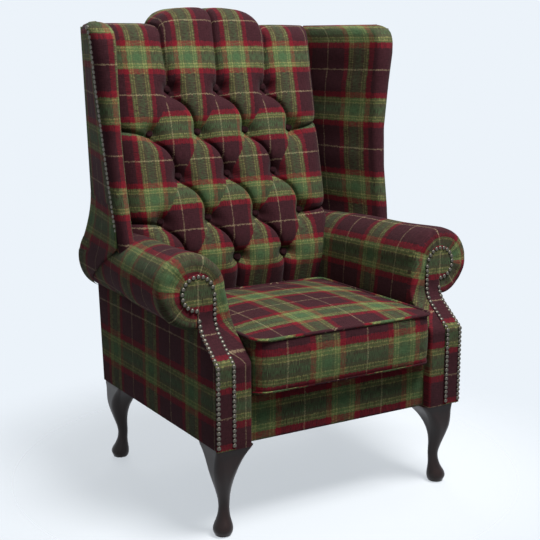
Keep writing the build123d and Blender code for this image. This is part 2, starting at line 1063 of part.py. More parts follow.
def wing_post():
    """Front upright of the wing, from the arm rail's outer side up to the wing's top."""
    top = wing_top_z - wing_top_drop
    with BuildPart() as post:
        foot_x = rail_outer_x + wing_post_width / 2
        foot_y = arm_front_y + wing_stations[0][2] + wing_post_setback
        for z in (roll_back_z - arm_rail_height / 2, roll_back_z + arm_rail_height / 4):
            with BuildSketch(Plane.XY.offset(z)):
                with Locations((foot_x, foot_y)):
                    Rectangle(wing_post_width, wing_post_depth, align=(Align.CENTER, Align.MIN))
        loft(ruled=True)
        for low, high in zip(wing_post_shares, wing_post_shares[1:]):
            for share in (low, high):
                z = wing_base_z + share * (top - wing_base_z)
                corner_x, corner_back, face_x = wing_corner(share)
                x = (corner_x + face_x) / 2 - wing_post_lean
                y = arm_front_y + corner_back + wing_post_setback
                with BuildSketch(Plane.XY.offset(z)):
                    with Locations((x, y)):
                        Rectangle(
                            wing_post_width, wing_post_depth, align=(Align.CENTER, Align.MIN)
                        )
            loft(ruled=True)
        corner_x, corner_back, face_x = wing_corner(0)
        x = (corner_x + face_x) / 2 - wing_post_lean
        with BuildSketch(Plane.XY.offset(roll_back_z + arm_rail_height / 4)):
            with Locations((foot_x, foot_y)):
                Rectangle(wing_post_width, wing_post_depth, align=(Align.CENTER, Align.MIN))
        with BuildSketch(Plane.XY.offset(wing_base_z)):
            with Locations((x, foot_y)):
                Rectangle(wing_post_width, wing_post_depth, align=(Align.CENTER, Align.MIN))
        loft(ruled=True)
    return post


def wing_top_rail():
    """Rail along the top of the wing, from its front upright to the back post."""
    top = wing_top_z - wing_top_drop
    corner_x, corner_back, face_x = wing_corner(1)
    x = (corner_x + face_x) / 2 - wing_post_lean
    y = arm_front_y + corner_back + wing_post_setback + wing_post_depth
    half = wing_post_width / 2
    inner_x = wing_crease_x + cloth
    back = rear_y(top)
    with BuildPart() as rail:
        with BuildSketch(Plane.XY.offset(top - tacking_rail_height)):
            with BuildLine():
                Polyline(
                    (x - half, y),
                    (x + half, y),
                    (wing_back_x - wing_post_lean, back - wing_crease_setback / 2),
                    (inner_x, back - wing_crease_setback / 2),
                    (inner_x, back - wing_crease_setback + wing_post_lean),
                    close=True,
                )
            make_face()
        extrude(amount=tacking_rail_height)
        add(right_wing_post.part, mode=Mode.SUBTRACT)
    return rail


def wing_split():
    """Surface between the inside and outside wing covers, just inside the nailed corner."""
    ends = []
    for share in (wing_seam_share, 1 - wing_seam_share):
        corner_x, corner_back, _ = wing_corner(share)
        z = wing_base_z + share * (wing_top_z - wing_base_z)
        ends.append(Vector(corner_x - wing_seam_inset, arm_front_y + corner_back, z))
    low, high = ends
    mid_z = (low.Z + high.Z) / 2
    rear = Vector((wing_crease_x + wing_back_x) / 2, rear_y(mid_z), mid_z)
    normal = (high - low).cross(rear - low)
    if normal.X < 0:
        normal = normal * -1
    return Plane(origin=low, z_dir=normal)


right_wing_post = wing_post()
right_wing_rail = wing_top_rail()
save_pair(right_wing_post, "wing_post")
save_pair(right_wing_rail, "wing_top_rail")

wing_outside = wing_body(0)
wing_inside = wing_body(cloth)
split_plane = wing_split()


def inside_wing_cover():
    """Cloth over the wing's inner face, its nose and its top edge."""
    with BuildPart() as cover:
        add(wing_outside)
        add(wing_inside, mode=Mode.SUBTRACT)
        add(arm_outside, mode=Mode.SUBTRACT)
        split(bisect_by=split_plane, keep=Keep.BOTTOM)
    return cover


def outside_wing_cover():
    """Cloth over the wing's outer face."""
    with BuildPart() as cover:
        add(wing_outside)
        add(wing_inside, mode=Mode.SUBTRACT)
        add(arm_outside, mode=Mode.SUBTRACT)
        split(bisect_by=split_plane, keep=Keep.TOP)
    return cover


def wing_padding():
    """Padding that fills the wing round its timbers."""
    with BuildPart() as padding:
        add(wing_inside)
        add(arm_outside, mode=Mode.SUBTRACT)
        add(right_wing_post.part, mode=Mode.SUBTRACT)
        add(right_wing_rail.part, mode=Mode.SUBTRACT)
    return padding


save_pair(below_roll(arm_outer_x - cloth), "outside_arm_cover")
save_pair(inside_arm_cover(), "inside_arm_cover")
save_pair(arm_padding(), "arm_pad")
save_pair(arm_facing(), "arm_facing")
save_pair(inside_wing_cover(), "inside_wing_cover")
save_pair(outside_wing_cover(), "outside_wing_cover")
save_pair(wing_padding(), "wing_pad")


# ---------------------------------------------------------------- seat suspension
def platform_span():
    """Depth of the seat between the front rail's face and the back posts' feet."""
    return post_foot_y - rail_front_y


def seat_springs():
    """Zigzag springs from the front rail to the back rail."""
    length = platform_span() + rail_thickness
    bends = int(length / spring_bend_pitch)
    start_y = rail_front_y + (length - (bends - 1) * spring_bend_pitch) / 2
    points = []
    for bend in range(bends):
        side = spring_half_width if bend % 2 else -spring_half_width
        along = start_y + bend * spring_bend_pitch
        points.append((-side, along))
        points.append((side, along))
    with BuildPart() as springs:
        with BuildLine(Plane.XY.offset(spring_z)) as path:
            FilletPolyline(*points, radius=spring_bend_radius)
        with BuildSketch(Plane(origin=path.line @ 0, z_dir=path.line % 0)):
            Circle(spring_wire_radius)
        sweep()
    with BuildPart() as row:
        with GridLocations(spring_pitch, 0, spring_count, 1):
            add(springs.part)
    return row


def spring_clips():
    """Steel clips that carry the spring ends on the front and back rails."""
    with BuildPart() as clips:
        for y in (rail_front_y + rail_thickness / 2, post_foot_y + rail_thickness / 2):
            with Locations((0, y, rail_top)):
                with GridLocations(spring_pitch, 0, spring_count, 1):
                    Box(
                        clip_length,
                        clip_width,
                        clip_thickness,
                        align=(Align.CENTER, Align.CENTER, Align.MIN),
                    )
    return clips


def platform_sheet(z_low, z_high):
    """A layer of the platform between the arms, the front rail and the back posts."""
    with BuildPart() as sheet:
        with Locations((0, rail_front_y, z_low)):
            Box(
                2 * pad_inner_x,
                platform_span(),
                z_high - z_low,
                align=(Align.CENTER, Align.MIN, Align.MIN),
            )
    return sheet


def front_block(inset, z_low):
    """The padded border in front of the front rail, rounded along its top edge."""
    with BuildPart() as block:
        with Locations((0, rail_front_y, z_low)):
            Box(
                2 * arm_inner_x,
                rail_front_y - border_y - inset,
                deck_top - inset - z_low,
                align=(Align.CENTER, Align.MAX, Align.MIN),
            )
        front_top = block.edges().filter_by(Axis.X).group_by(Axis.Y)[0].sort_by(Axis.Z)[-1]
        fillet(front_top, border_edge)
    return block.part


def platform_padding():
    """Padding over the hessian and down the face of the front rail."""
    with BuildPart() as padding:
        add(platform_sheet(pad_z, deck_z).part)
        add(front_block(cloth, frame_bottom))
    return padding


def front_border_cover():
    """Cloth from under the deck's front edge down to the bottom of the border."""
    with BuildPart() as cover:
        add(front_block(0, cover_bottom))
        add(front_block(cloth, 0), mode=Mode.SUBTRACT)
    return cover


def dust_cover():
    """Thin cloth under the frame, cut away round each leg."""
    length = rear_y(cover_bottom) - cloth - rail_front_y
    with BuildPart() as sheet:
        with Locations((0, rail_front_y, frame_bottom - timber_gap)):
            Box(
                2 * (rail_outer_x - rail_thickness / 2),
                length - rail_thickness / 2,
                timber_gap,
                align=(Align.CENTER, Align.MIN, Align.MIN),
            )
        with Locations(*[(x, y, frame_bottom) for x, y in leg_places]):
            Box(leg_block + cloth, leg_block + cloth, leg_height, mode=Mode.SUBTRACT)
    return sheet


save(seat_springs(), "seat_springs")
save(spring_clips(), "seat_spring_clips")
save(platform_sheet(hessian_z, pad_z), "seat_hessian")
save(platform_padding(), "seat_platform_pad")
save(platform_sheet(deck_z, deck_top), "seat_platform_cover")
save(front_border_cover(), "front_border_cover")
save(dust_cover(), "dust_cover")


# ---------------------------------------------------------------- loose cushion
cushion_mid_y = front_y + cushion_depth / 2


def cushion_plan(inset):
    """Outline of the cushion seen from above, drawn in all round."""
    half = cushion_half_width - inset
    front = front_y + inset
    back = front_y + cushion_depth - inset
    front_radius = cushion_front_radius - inset
    back_radius = cushion_back_radius - inset
    return FilletPolyline(
        (0, front),
        (half, front),
        (half, back),
        (-half, back),
        (-half, front),
        radius=[0, front_radius, back_radius, back_radius, front_radius],
        close=True,
    )


def cushion_block(inset, z_low, z_high):
    """A straight-sided slice of the cushion."""
    with BuildPart() as block:
        with BuildSketch(Plane.XY.offset(z_low)):
            with BuildLine():
                cushion_plan(inset)
            make_face()
        extrude(amount=z_high - z_low)
    return block.part


def cushion_arch(half, plane, middle, base, reach):
    """A long prism with an arched top, over a skirt that hangs below its base."""
    with BuildPart() as arch:
        with BuildSketch(plane):
            with BuildLine():
                ThreePointArc(
                    (middle - half, base), (middle, base + cushion_crown), (middle + half, base)
                )
                Polyline(
                    (middle + half, base),
                    (middle + half, base - cushion_crown),
                    (middle - half, base - cushion_crown),
                    (middle - half, base),
                )
            make_face()
        extrude(amount=reach)
    return arch.part


def cushion_dome(inset, drop):
    """The crowned top, arched from side to side and from front to back."""
    base = cushion_top_z - drop
    across = Plane.XZ.offset(-overall_depth)
    along = Plane.YZ.offset(-overall_depth)
    with BuildPart() as dome:
        add(cushion_block(inset, base, base + 2 * cushion_crown))
        add(
            cushion_arch(cushion_half_width, across, 0, base, 2 * overall_depth),
            mode=Mode.INTERSECT,
        )
        add(
            cushion_arch(cushion_depth / 2, along, cushion_mid_y, base, 2 * overall_depth),
            mode=Mode.INTERSECT,
        )
    return dome.part


piping_heights = (cushion_z + piping_radius, cushion_top_z)


def cushion_piping():
    """Round piping sewn into the seams at the top and bottom edges."""
    with BuildPart() as piping:
        for z in piping_heights:
            with BuildLine(Plane.XY.offset(z)) as seam:
                cushion_plan(piping_radius)
            with BuildSketch(Plane(origin=seam.line @ 0, z_dir=seam.line % 0)):
                Circle(piping_radius)
            sweep(path=seam.line)
    return piping


piping = cushion_piping()


def zip_band(thickness):
    """The band across the back of the boxing that the zip takes up."""
    outer = front_y + cushion_depth - piping_stand
    with BuildPart() as band:
        with Locations((0, outer, (cushion_z + cushion_top_z) / 2)):
            Box(
                2 * zip_half_length,
                thickness,
                zip_width,
                align=(Align.CENTER, Align.MAX, Align.CENTER),
            )
    return band


def cushion_boxing_cover():
    """Band of cloth round the sides, with a gap behind for the zip."""
    with BuildPart() as boxing:
        add(cushion_block(piping_stand, piping_heights[0], piping_heights[1]))
        add(
            cushion_block(piping_stand + cloth, cushion_z, cushion_top_z + cloth),
            mode=Mode.SUBTRACT,
        )
        add(piping.part, mode=Mode.SUBTRACT)
        add(zip_band(cloth).part, mode=Mode.SUBTRACT)
    return boxing


def cushion_top_panel():
    with BuildPart() as panel:
        add(cushion_dome(piping_stand, 0))
        add(cushion_dome(piping_stand, cloth), mode=Mode.SUBTRACT)
        add(piping.part, mode=Mode.SUBTRACT)
    return panel


def cushion_bottom_panel():
    with BuildPart() as panel:
        add(cushion_block(piping_stand + cloth, cushion_z, cushion_z + cloth))
        add(piping.part, mode=Mode.SUBTRACT)
    return panel


def cushion_core():
    """Foam filling with a crowned top."""
    inset = piping_stand + cloth
    with BuildPart() as core:
        add(cushion_block(inset, cushion_z + cloth, cushion_top_z - cloth))
        add(cushion_dome(piping_stand, cloth))
        add(cushion_block(inset, 0, overall_height), mode=Mode.INTERSECT)
        add(piping.part, mode=Mode.SUBTRACT)
    return core


def zip_tape():
    """Zip tape with its closed coil along the middle."""
    with BuildPart() as tape:
        add(zip_band(cloth).part)
        outer = front_y + cushion_depth - piping_stand
        with BuildSketch(Plane.YZ.offset(-zip_half_length)):
            with Locations((outer, (cushion_z + cushion_top_z) / 2)):
                Circle(zip_coil_radius)
        extrude(amount=2 * zip_half_length)
    return tape


def zip_slider():
    """Slider that rides on the coil, shown at the closed end."""
    outer = front_y + cushion_depth - piping_stand
    reach = zip_coil_radius + zip_clearance
    with BuildPart() as slider:
        with Locations((zip_half_length, outer + zip_clearance, (cushion_z + cushion_top_z) / 2)):
            Box(
                zip_slider_length,
                reach + zip_slider_thickness,
                zip_slider_height,
                align=(Align.MAX, Align.MIN, Align.CENTER),
            )
        outer_edges = slider.edges().filter_by(Axis.Y)
        fillet(outer_edges, zip_slider_thickness)
        with BuildSketch(Plane.YZ.offset(-zip_half_length)):
            with Locations((outer, (cushion_z + cushion_top_z) / 2)):
                Circle(reach)
        extrude(amount=2 * overall_depth, mode=Mode.SUBTRACT)
    return slider


save(cushion_core(), "cushion_core")
save(cushion_top_panel(), "cushion_top_panel")
save(cushion_bottom_panel(), "cushion_bottom_panel")
save(cushion_boxing_cover(), "cushion_boxing")
save(piping, "cushion_piping")
save(zip_tape(), "zip_tape")
save(zip_slider(), "zip_slider")


# ---------------------------------------------------------------- nails
def upholstery_nail():
    """One domed nail standing on the origin, its shank below."""
    upright = (Align.CENTER, Align.CENTER, Align.MIN)
    brow = nail_head * nail_brow
    with BuildPart() as nail:
        with Locations((0, 0, -nail_shank)):
            Cylinder(nail_shank_radius, nail_shank, align=upright)
        Cone(nail_radius, nail_radius * nail_brow_width, brow, align=upright)
        with Locations((0, 0, brow)):
            Cone(
                nail_radius * nail_brow_width,
                nail_radius * nail_crown_width,
                nail_head - brow,
                align=upright,
            )
    return nail.part


def strip_nails(x, z_high):
    """Places of the nails up one side of a facing, square to its front line."""
    line = front_line(0, cover_bottom + nail_start, z_high)
    count = int(line.length / nail_pitch) + 1
    planes = []
    for index in range(count):
        at = line.position_at(index * nail_pitch, position_mode=PositionMode.LENGTH)
        way = line.tangent_at(index * nail_pitch, position_mode=PositionMode.LENGTH)
        planes.append(Plane(origin=(x, at.X, at.Y), z_dir=(0, -way.Y, way.X)))
    return planes


def scroll_nails():
    """Places of the nails round the scroll, from the inner row to the outer row."""
    radius = facing_scroll_radius - nail_margin
    sweep_angle = 180 + scroll_nail_gap
    count = int(radians(sweep_angle) * radius / nail_pitch)
    planes = []
    for index in range(1, count + 1):
        angle = radians(180 - index * sweep_angle / count)
        x = facing_scroll_x + radius * cos(angle)
        z = facing_scroll_z + radius * sin(angle)
        planes.append(Plane(origin=(x, scroll_y, z), z_dir=(0, -1, 0)))
    return planes


def wing_nails():
    """Places of the nails down the wing's outer front corner."""
    height = wing_top_z - wing_base_z
    count = int((wing_nail_high - wing_nail_low) * height / nail_pitch)
    turn = radians(wing_nail_turn)
    planes = []
    for index in range(count + 1):
        share = wing_nail_low + index * (wing_nail_high - wing_nail_low) / count
        corner_x, corner_back, _ = wing_corner(share)
        at = (corner_x, arm_front_y + corner_back, wing_base_z + share * height)
        planes.append(Plane(origin=at, z_dir=(cos(turn), -sin(turn), 0)))
    return planes


def nail_row(planes):
    """A nail at every place and its mirror image."""
    nail = upholstery_nail()
    with BuildPart() as nails:
        with Locations(*planes):
            add(nail)
        mirror(about=Plane.YZ)
    return nails


inner_strip = strip_nails(facing_inner_x + nail_margin, facing_scroll_z)
outer_strip = strip_nails(
    facing_outer_x - nail_margin,
    facing_scroll_z - facing_scroll_radius - nail_radius,
)
all_places = inner_strip + outer_strip + scroll_nails() + wing_nails()
save(nail_row(all_places), "upholstery_nails")
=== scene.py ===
from math import cos, pi, radians, sin, tau

import bmesh
import bpy
import numpy as np
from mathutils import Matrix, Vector


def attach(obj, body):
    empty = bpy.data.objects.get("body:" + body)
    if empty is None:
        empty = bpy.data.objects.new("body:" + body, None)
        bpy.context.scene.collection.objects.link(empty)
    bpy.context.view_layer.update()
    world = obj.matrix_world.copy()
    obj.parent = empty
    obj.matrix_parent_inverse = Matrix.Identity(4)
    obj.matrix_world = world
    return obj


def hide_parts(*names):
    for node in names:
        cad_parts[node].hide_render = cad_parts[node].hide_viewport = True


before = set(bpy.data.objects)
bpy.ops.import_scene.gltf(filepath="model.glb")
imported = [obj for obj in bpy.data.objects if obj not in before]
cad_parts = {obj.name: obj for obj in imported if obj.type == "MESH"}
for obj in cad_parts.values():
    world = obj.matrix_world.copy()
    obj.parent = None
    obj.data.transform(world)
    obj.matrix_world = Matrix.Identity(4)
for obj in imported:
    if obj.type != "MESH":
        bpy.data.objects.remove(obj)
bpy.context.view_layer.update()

# ---------------------------------------------------------------- driving values, metres
HEIGHT = 1.12
SHOULDER_Z = 1.077
WING_TOP_Z = 1.075
WING_BASE_Z = 0.56
FRAME_BOTTOM = 0.2
BACK_HALF = 0.3
BACK_FLAT = 0.235
BUTTON_Z = 0.919
BUTTON_Y = 0.241
BUTTON_SLOPE = 0.2512
PITCH_X = 0.1368
PITCH_Z = 0.104
EDGE_BUTTON_X = 0.2
PAD_RISE = 0.036
PAD_PROUD = 0.037
LUMBAR_RISE = 0.075
SHOULDER_ROLL = 0.013
CROWN_ROLL = 0.0132
SHEET_TOP_Z = 0.862
FOLD_BULGE = 0.010
FOLD_BOW = 0.0875
CREST_PINCH = 1.12
ARM_INNER_X = 0.237
ARM_OUTER_X = 0.318
ARM_FRONT_Y = -0.345
SCROLL_Y = -0.265
SCROLL = (0.329, 0.524, 0.079)
ROLL_BACK = (0.296, 0.515, 0.060, 0.075)
ROLL_END_Y = 0.36
FACING_INNER_X = 0.278
FACING_OUTER_X = 0.324
FACING_HEAD = (0.321, 0.522, 0.041)
FACING_RISE = 0.003
NAIL_RADIUS = 0.0048
NAIL_RISE = 0.003
NAIL_PITCH = 0.0106
NAIL_MARGIN = 0.0047
CUSHION_Z = 0.3055
CUSHION_TOP_Z = 0.4285
CUSHION_HALF = 0.235
CUSHION_FRONT_Y = -0.36
CUSHION_DEPTH = 0.466
CUSHION_FRONT_RADIUS = 0.034
CUSHION_BACK_RADIUS = 0.022
CUSHION_CROWN = 0.017
CUSHION_LIFT = 0.009
PANEL_SHRINK = 0.987
PIPING_RADIUS = 0.004
BORDER_Y = -0.317
DECK_TOP = 0.305
CHECK = 0.2
TWILL_PITCH = 0.0021
BACK_LEAN = radians(14.1)

rng = np.random.default_rng(7)


def rear_y(z):
    """Depth of the raked rear face at a height."""
    return 0.259 + 0.08134 * (z - FRAME_BOTTOM)


def button_y(z):
    """Depth of the plane that the buttons are pulled down to."""
    return BUTTON_Y + BUTTON_SLOPE * (z - BUTTON_Z)


def crease_y(z):
    """Depth of the crease between the back and a wing."""
    return 0.284 + 0.124 * (z - 0.933)


# ---------------------------------------------------------------- materials
def srgb(r, g, b):
    """Linear colour from 0-255 display values."""
    c = np.array([r, g, b]) / 255
    linear = np.where(c <= 0.04045, c / 12.92, ((c + 0.055) / 1.055) ** 2.4)
    return (*linear.tolist(), 1.0)


def new_material(name):
    """A material with its node tree, and its Principled shader."""
    material = bpy.data.materials.new(name)
    material.use_nodes = True
    return material, material.node_tree, material.node_tree.nodes["Principled BSDF"]


def math_node(tree, operation, a, b=None, c=None, clamp=False):
    """One Math node; a, b and c are sockets or numbers."""
    node = tree.nodes.new("ShaderNodeMath")
    node.operation = operation
    node.use_clamp = clamp
    for socket, value in zip(node.inputs, (a, b, c)):
        if isinstance(value, bpy.types.NodeSocket):
            tree.links.new(value, socket)
        elif value is not None:
            socket.default_value = value
    return node.outputs[0]


def noise_node(tree, vector, scale, detail=2.0, roughness=0.5):
    """One Noise texture."""
    node = tree.nodes.new("ShaderNodeTexNoise")
    node.inputs["Scale"].default_value = scale
    node.inputs["Detail"].default_value = detail
    node.inputs["Roughness"].default_value = roughness
    tree.links.new(vector, node.inputs["Vector"])
    return node.outputs["Fac"]


def slub(tree, vector, scale):
    """Noise about 0, drawn out along one set of threads, as in uneven wool yarn."""
    drawn = noise_node(tree, stretched(tree, vector, scale), 1.0, 2.0, 0.6)
    return math_node(tree, "SUBTRACT", drawn, 0.5)


def stretched(tree, vector, scale):
    """A coordinate scaled differently along each axis."""
    stretch = tree.nodes.new("ShaderNodeMapping")
    stretch.inputs["Scale"].default_value = scale
    tree.links.new(vector, stretch.inputs["Vector"])
    return stretch.outputs[0]


def add_bump(tree, shader, height, strength, distance):
    """Fine relief on a shader from a height socket."""
    bump = tree.nodes.new("ShaderNodeBump")
    bump.inputs["Strength"].default_value = strength
    bump.inputs["Distance"].default_value = distance
    tree.links.new(height, bump.inputs["Height"])
    tree.links.new(bump.outputs[0], shader.inputs["Normal"])


def mix_colours(tree, factor, a, b, blend="MIX"):
    """Mix of two colours; a, b and the factor are sockets or values."""
    node = tree.nodes.new("ShaderNodeMix")
    node.data_type = "RGBA"
    node.blend_type = blend
    for key, value in (("Factor_Float", factor), ("A_Color", a), ("B_Color", b)):
        socket = next(s for s in node.inputs if s.identifier == key)
        if isinstance(value, bpy.types.NodeSocket):
            tree.links.new(value, socket)
        else:
            socket.default_value = value
    return next(s for s in node.outputs if s.identifier == "Result_Color")


# The tartan's threads over one check, as the place in millimetres where each colour starts.
THREADS = (
    (0, "tan"),
    (2.4, "maroon"),
    (56, "red"),
    (70, "green"),
    (74, "yellow"),
    (76, "green"),
    (82, "yellow"),
    (84, "olive"),
    (92, "teal"),
    (108, "olive"),
    (116, "yellow"),
    (118, "green"),
    (124, "yellow"),
    (126, "green"),
    (130, "red"),
    (144, "maroon"),
)
DYES = {
    "tan": srgb(144, 126, 100),
    "maroon": srgb(62, 33, 38),
    "red": srgb(118, 29, 39),
    "green": srgb(94, 110, 66),
    "yellow": srgb(140, 140, 88),
    "olive": srgb(80, 92, 62),
    "teal": srgb(74, 98, 66),
}


def thread_ramp(tree, place):
    """Constant bands of dyed thread over one check, from a place in metres."""
    ramp = tree.nodes.new("ShaderNodeValToRGB")
    ramp.color_ramp.interpolation = "CONSTANT"
    stops = ramp.color_ramp.elements
    while len(stops) < len(THREADS):
        stops.new(1.0)
    for stop, (start, dye) in zip(stops, THREADS):
        stop.position = start / (CHECK * 1000)
        stop.color = DYES[dye]
    share = math_node(tree, "FRACT", math_node(tree, "DIVIDE", place, CHECK))
    tree.links.new(share, ramp.inputs["Fac"])
    return ramp.outputs["Color"]


def frayed_place(tree, coords):
    """Cloth coordinates that wander a little, so that the bands' edges are soft."""
    wander = tree.nodes.new("ShaderNodeTexNoise")
    wander.inputs["Scale"].default_value = 330
    tree.links.new(coords, wander.inputs["Vector"])
    offset = tree.nodes.new("ShaderNodeVectorMath")
    offset.operation = "MULTIPLY_ADD"
    offset.inputs[1].default_value = (0.009, 0.009, 0)
    tree.links.new(wander.outputs["Color"], offset.inputs[0])
    tree.links.new(coords, offset.inputs[2])
    split = tree.nodes.new("ShaderNodeSeparateXYZ")
    tree.links.new(offset.outputs[0], split.inputs[0])
    return split.outputs["X"], split.outputs["Y"]


def tartan_material(name, painted_light_level=1.0):
    """Woven wool check: two thread ramps crossed by a twill, with fibre fuzz and sheen.

    The second argument is 1 for the plain cloth; below 1 it darkens the whole cloth as painted
    shade.
    """
    material, tree, shader = new_material(name)
    uv_map = tree.nodes.new("ShaderNodeUVMap")
    uv_map.uv_map = "UVMap"
    coords = uv_map.outputs["UV"]
    across, up = frayed_place(tree, coords)
    both = math_node(tree, "ADD", across, up)
    twill = math_node(tree, "SINE", math_node(tree, "MULTIPLY", both, tau / TWILL_PITCH))
    yarn, cross = slub(tree, coords, (700, 60, 1)), slub(tree, coords, (60, 700, 1))
    uneven = math_node(tree, "MULTIPLY", math_node(tree, "SUBTRACT", yarn, cross), 1.5)
    share = math_node(tree, "MULTIPLY_ADD", twill, 0.2, 0.57)
    share = math_node(tree, "ADD", share, uneven, clamp=True)
    cloth = mix_colours(tree, share, thread_ramp(tree, across), thread_ramp(tree, up))
    fuzz = noise_node(tree, coords, 420, 3.0, 0.65)
    patches = noise_node(tree, coords, 26, 3.0, 0.6)
    # The base level falls with the second argument below 1: painted shade over the whole cloth.
    light = math_node(tree, "MULTIPLY_ADD", fuzz, 0.7, 0.5 * painted_light_level)
    light = math_node(tree, "ADD", light, math_node(tree, "MULTIPLY", patches, 0.3))
    streaks = math_node(tree, "MULTIPLY", math_node(tree, "ADD", yarn, cross), 1.3)
    light = math_node(tree, "ADD", light, streaks)
    grey = tree.nodes.new("ShaderNodeCombineColor")
    for socket in grey.inputs:
        tree.links.new(light, socket)
    cloth = mix_colours(tree, 1.0, cloth, grey.outputs[0], "MULTIPLY")
    tree.links.new(cloth, shader.inputs["Base Color"])
    relief = math_node(tree, "ADD", math_node(tree, "MULTIPLY", twill, 0.5), fuzz)
    add_bump(tree, shader, relief, 0.35, 0.0008)
    shader.inputs["Roughness"].default_value = 0.92
    shader.inputs["Specular IOR Level"].default_value = 0.06
    shader.inputs["Sheen Weight"].default_value = 0.04
    shader.inputs["Sheen Roughness"].default_value = 0.45
    return material


def plain_material(name, colour, scale, rough, metal=0.0, contrast=0.25, bump_depth=0.0004):
    """One substance with a noise that varies its colour and a fine bump."""
    material, tree, shader = new_material(name)
    coords = tree.nodes.new("ShaderNodeTexCoord").outputs["Object"]
    grain = noise_node(tree, coords, scale, 4.0, 0.6)
    dark = tuple(c * (1 - contrast) for c in colour[:3]) + (1.0,)
    light = tuple(min(1.0, c * (1 + contrast)) for c in colour[:3]) + (1.0,)
    tree.links.new(mix_colours(tree, grain, dark, light), shader.inputs["Base Color"])
    add_bump(tree, shader, grain, 0.3, bump_depth)
    shader.inputs["Roughness"].default_value = rough
    shader.inputs["Metallic"].default_value = metal
    return material


def wood_material(name, dark, light, rough, coat):
    """Polished wood with grain that runs up the piece."""
    material, tree, shader = new_material(name)
    coords = tree.nodes.new("ShaderNodeTexCoord").outputs["Object"]
    along_grain = stretched(tree, coords, (60, 60, 7))
    figure = noise_node(tree, along_grain, 1.0, 5.0, 0.62)
    pores = noise_node(tree, along_grain, 9.0, 2.0)
    grain = math_node(tree, "ADD", figure, math_node(tree, "MULTIPLY", pores, 0.35))
    share = math_node(tree, "SUBTRACT", grain, 0.3, clamp=True)
    tree.links.new(mix_colours(tree, share, dark, light), shader.inputs["Base Color"])
    add_bump(tree, shader, pores, 0.12, 0.0003)
    wear = math_node(tree, "MULTIPLY_ADD", figure, 0.25, rough - 0.1)
    tree.links.new(wear, shader.inputs["Roughness"])
    shader.inputs["Coat Weight"].default_value = coat
    shader.inputs["Coat Roughness"].default_value = 0.15
    shader.inputs["Specular IOR Level"].default_value = 0.22
    return material


tartan = tartan_material("tartan_wool")
# The buttons' cloth is the tartan with its base brightness cut to a tenth: painted shade for the
# deep pits they sit in.
BUTTON_CLOTH_PAINTED_SHADE = tartan_material("tartan_wool_buttons_painted_shade", 0.1)
LEG_WOOD = wood_material("leg_mahogany", srgb(22, 13, 12), srgb(46, 25, 21), 0.3, 0.12)
FRAME_WOOD = wood_material("frame_beech", srgb(168, 128, 84), srgb(206, 170, 122), 0.6, 0.0)
NAIL_METAL = plain_material("nail_metal", srgb(92, 88, 80), 900, 0.4, 1.0, 0.35, 0.0002)
STEEL = plain_material("spring_steel", srgb(120, 120, 124), 300, 0.35, 1.0, 0.15)
ZINC = plain_material("zinc_steel", srgb(170, 172, 176), 500, 0.4, 1.0, 0.12)
GLIDE = plain_material("glide_steel", srgb(150, 150, 150), 400, 0.3, 1.0, 0.15)
HESSIAN = plain_material("hessian", srgb(166, 136, 92), 700, 0.95)
DUST_CLOTH = plain_material("dust_cloth", srgb(28, 28, 30), 900, 0.95)
PLATFORM = plain_material("platform_cloth", srgb(84, 66, 58), 800, 0.95)
FOAM = plain_material("padding", srgb(226, 214, 180), 500, 0.95)
ZIP_TAPE = plain_material("zip_tape", srgb(70, 34, 38), 900, 0.85)
ZIP_METAL = plain_material("zip_metal", srgb(176, 160, 120), 600, 0.3, 1.0, 0.15)


# ---------------------------------------------------------------- mesh helpers
def grid_quads(rows, cols):
    """Corner numbers of the quads of a rows x cols grid of points."""
    at = np.arange(rows * cols).reshape(rows, cols)
    quads = np.stack([at[:-1, :-1], at[:-1, 1:], at[1:, 1:], at[1:, :-1]], -1)
    return quads.reshape(-1, 4)


def new_object(name, data):
    """An object linked into the scene."""
    thing = bpy.data.objects.new(name, data)
    bpy.context.scene.collection.objects.link(thing)
    return thing


def mesh_piece(name, points, quads, corner_uv, material, node=(), body="chair"):
    """A smooth mesh piece from points, quads and one uv for every corner of every quad."""
    mesh = bpy.data.meshes.new(name)
    mesh.from_pydata(points.reshape(-1, 3).tolist(), [], quads.tolist())
    layer = mesh.uv_layers.new(name="UVMap")
    layer.data.foreach_set("uv", np.ascontiguousarray(corner_uv, dtype=float).ravel())
    mesh.polygons.foreach_set("use_smooth", [True] * len(mesh.polygons))
    mesh.materials.append(material)
    piece = new_object(name, mesh)
    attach(piece, body)
    if node:
        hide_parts(*node)
    return piece


def grid_piece(name, points, uv, node=(), body="chair", flip=False):
    """A tartan piece from a grid of points and a uv for each point."""
    quads = grid_quads(*points.shape[:2])
    if flip:
        quads = quads[:, ::-1]
    return mesh_piece(name, points, quads, uv.reshape(-1, 2)[quads], tartan, node, body)


# Where the cloth of each panel lies on the check: scale and shift of u, scale and shift of v.
CHECK_AT = {
    "outside_back": (1, 0, 1, 0.03),
    "wing_right": (0.92, 0.102, 1, 0.07),
    "wing_left": (0.92, 0.067, 1, 0.05),
    "wing_outside": (0.92, 0.16, 0.96, 0.134),
    "wing_apron": (-0.92, 0.336, 0.92, -0.266),
    "arm_right": (1, 0.186, 0.92, 0.197),
    "arm_left": (1, 0.148, 0.92, 0.209),
    "outside_arm": (1, 0.12, 0.92, 0.221),
    "facing": (1, -0.124, 1.04, 0.322),
    "front_border": (0.96, 0.085, 0.92, 0.248),
    "cushion_top": (0.96, 0.157, 1, 0.155),
    "cushion_boxing": (0.96, 0.159, 0.92, 0.046),
}


def check_uv(panel, u, v):
    """Cloth coordinates of a panel from its own distances in metres."""
    u_scale, u_shift, v_scale, v_shift = CHECK_AT[panel]
    return np.stack([u_scale * u + u_shift, v_scale * v + v_shift], -1)


def columns_of(values, count):
    """A column of values repeated side by side."""
    return np.repeat(values[:, None], count, axis=1)


def steps_to(start, end, count):
    """Even steps from one point to another, without the first."""
    return [start + (end - start) * k / count for k in range(1, count + 1)]


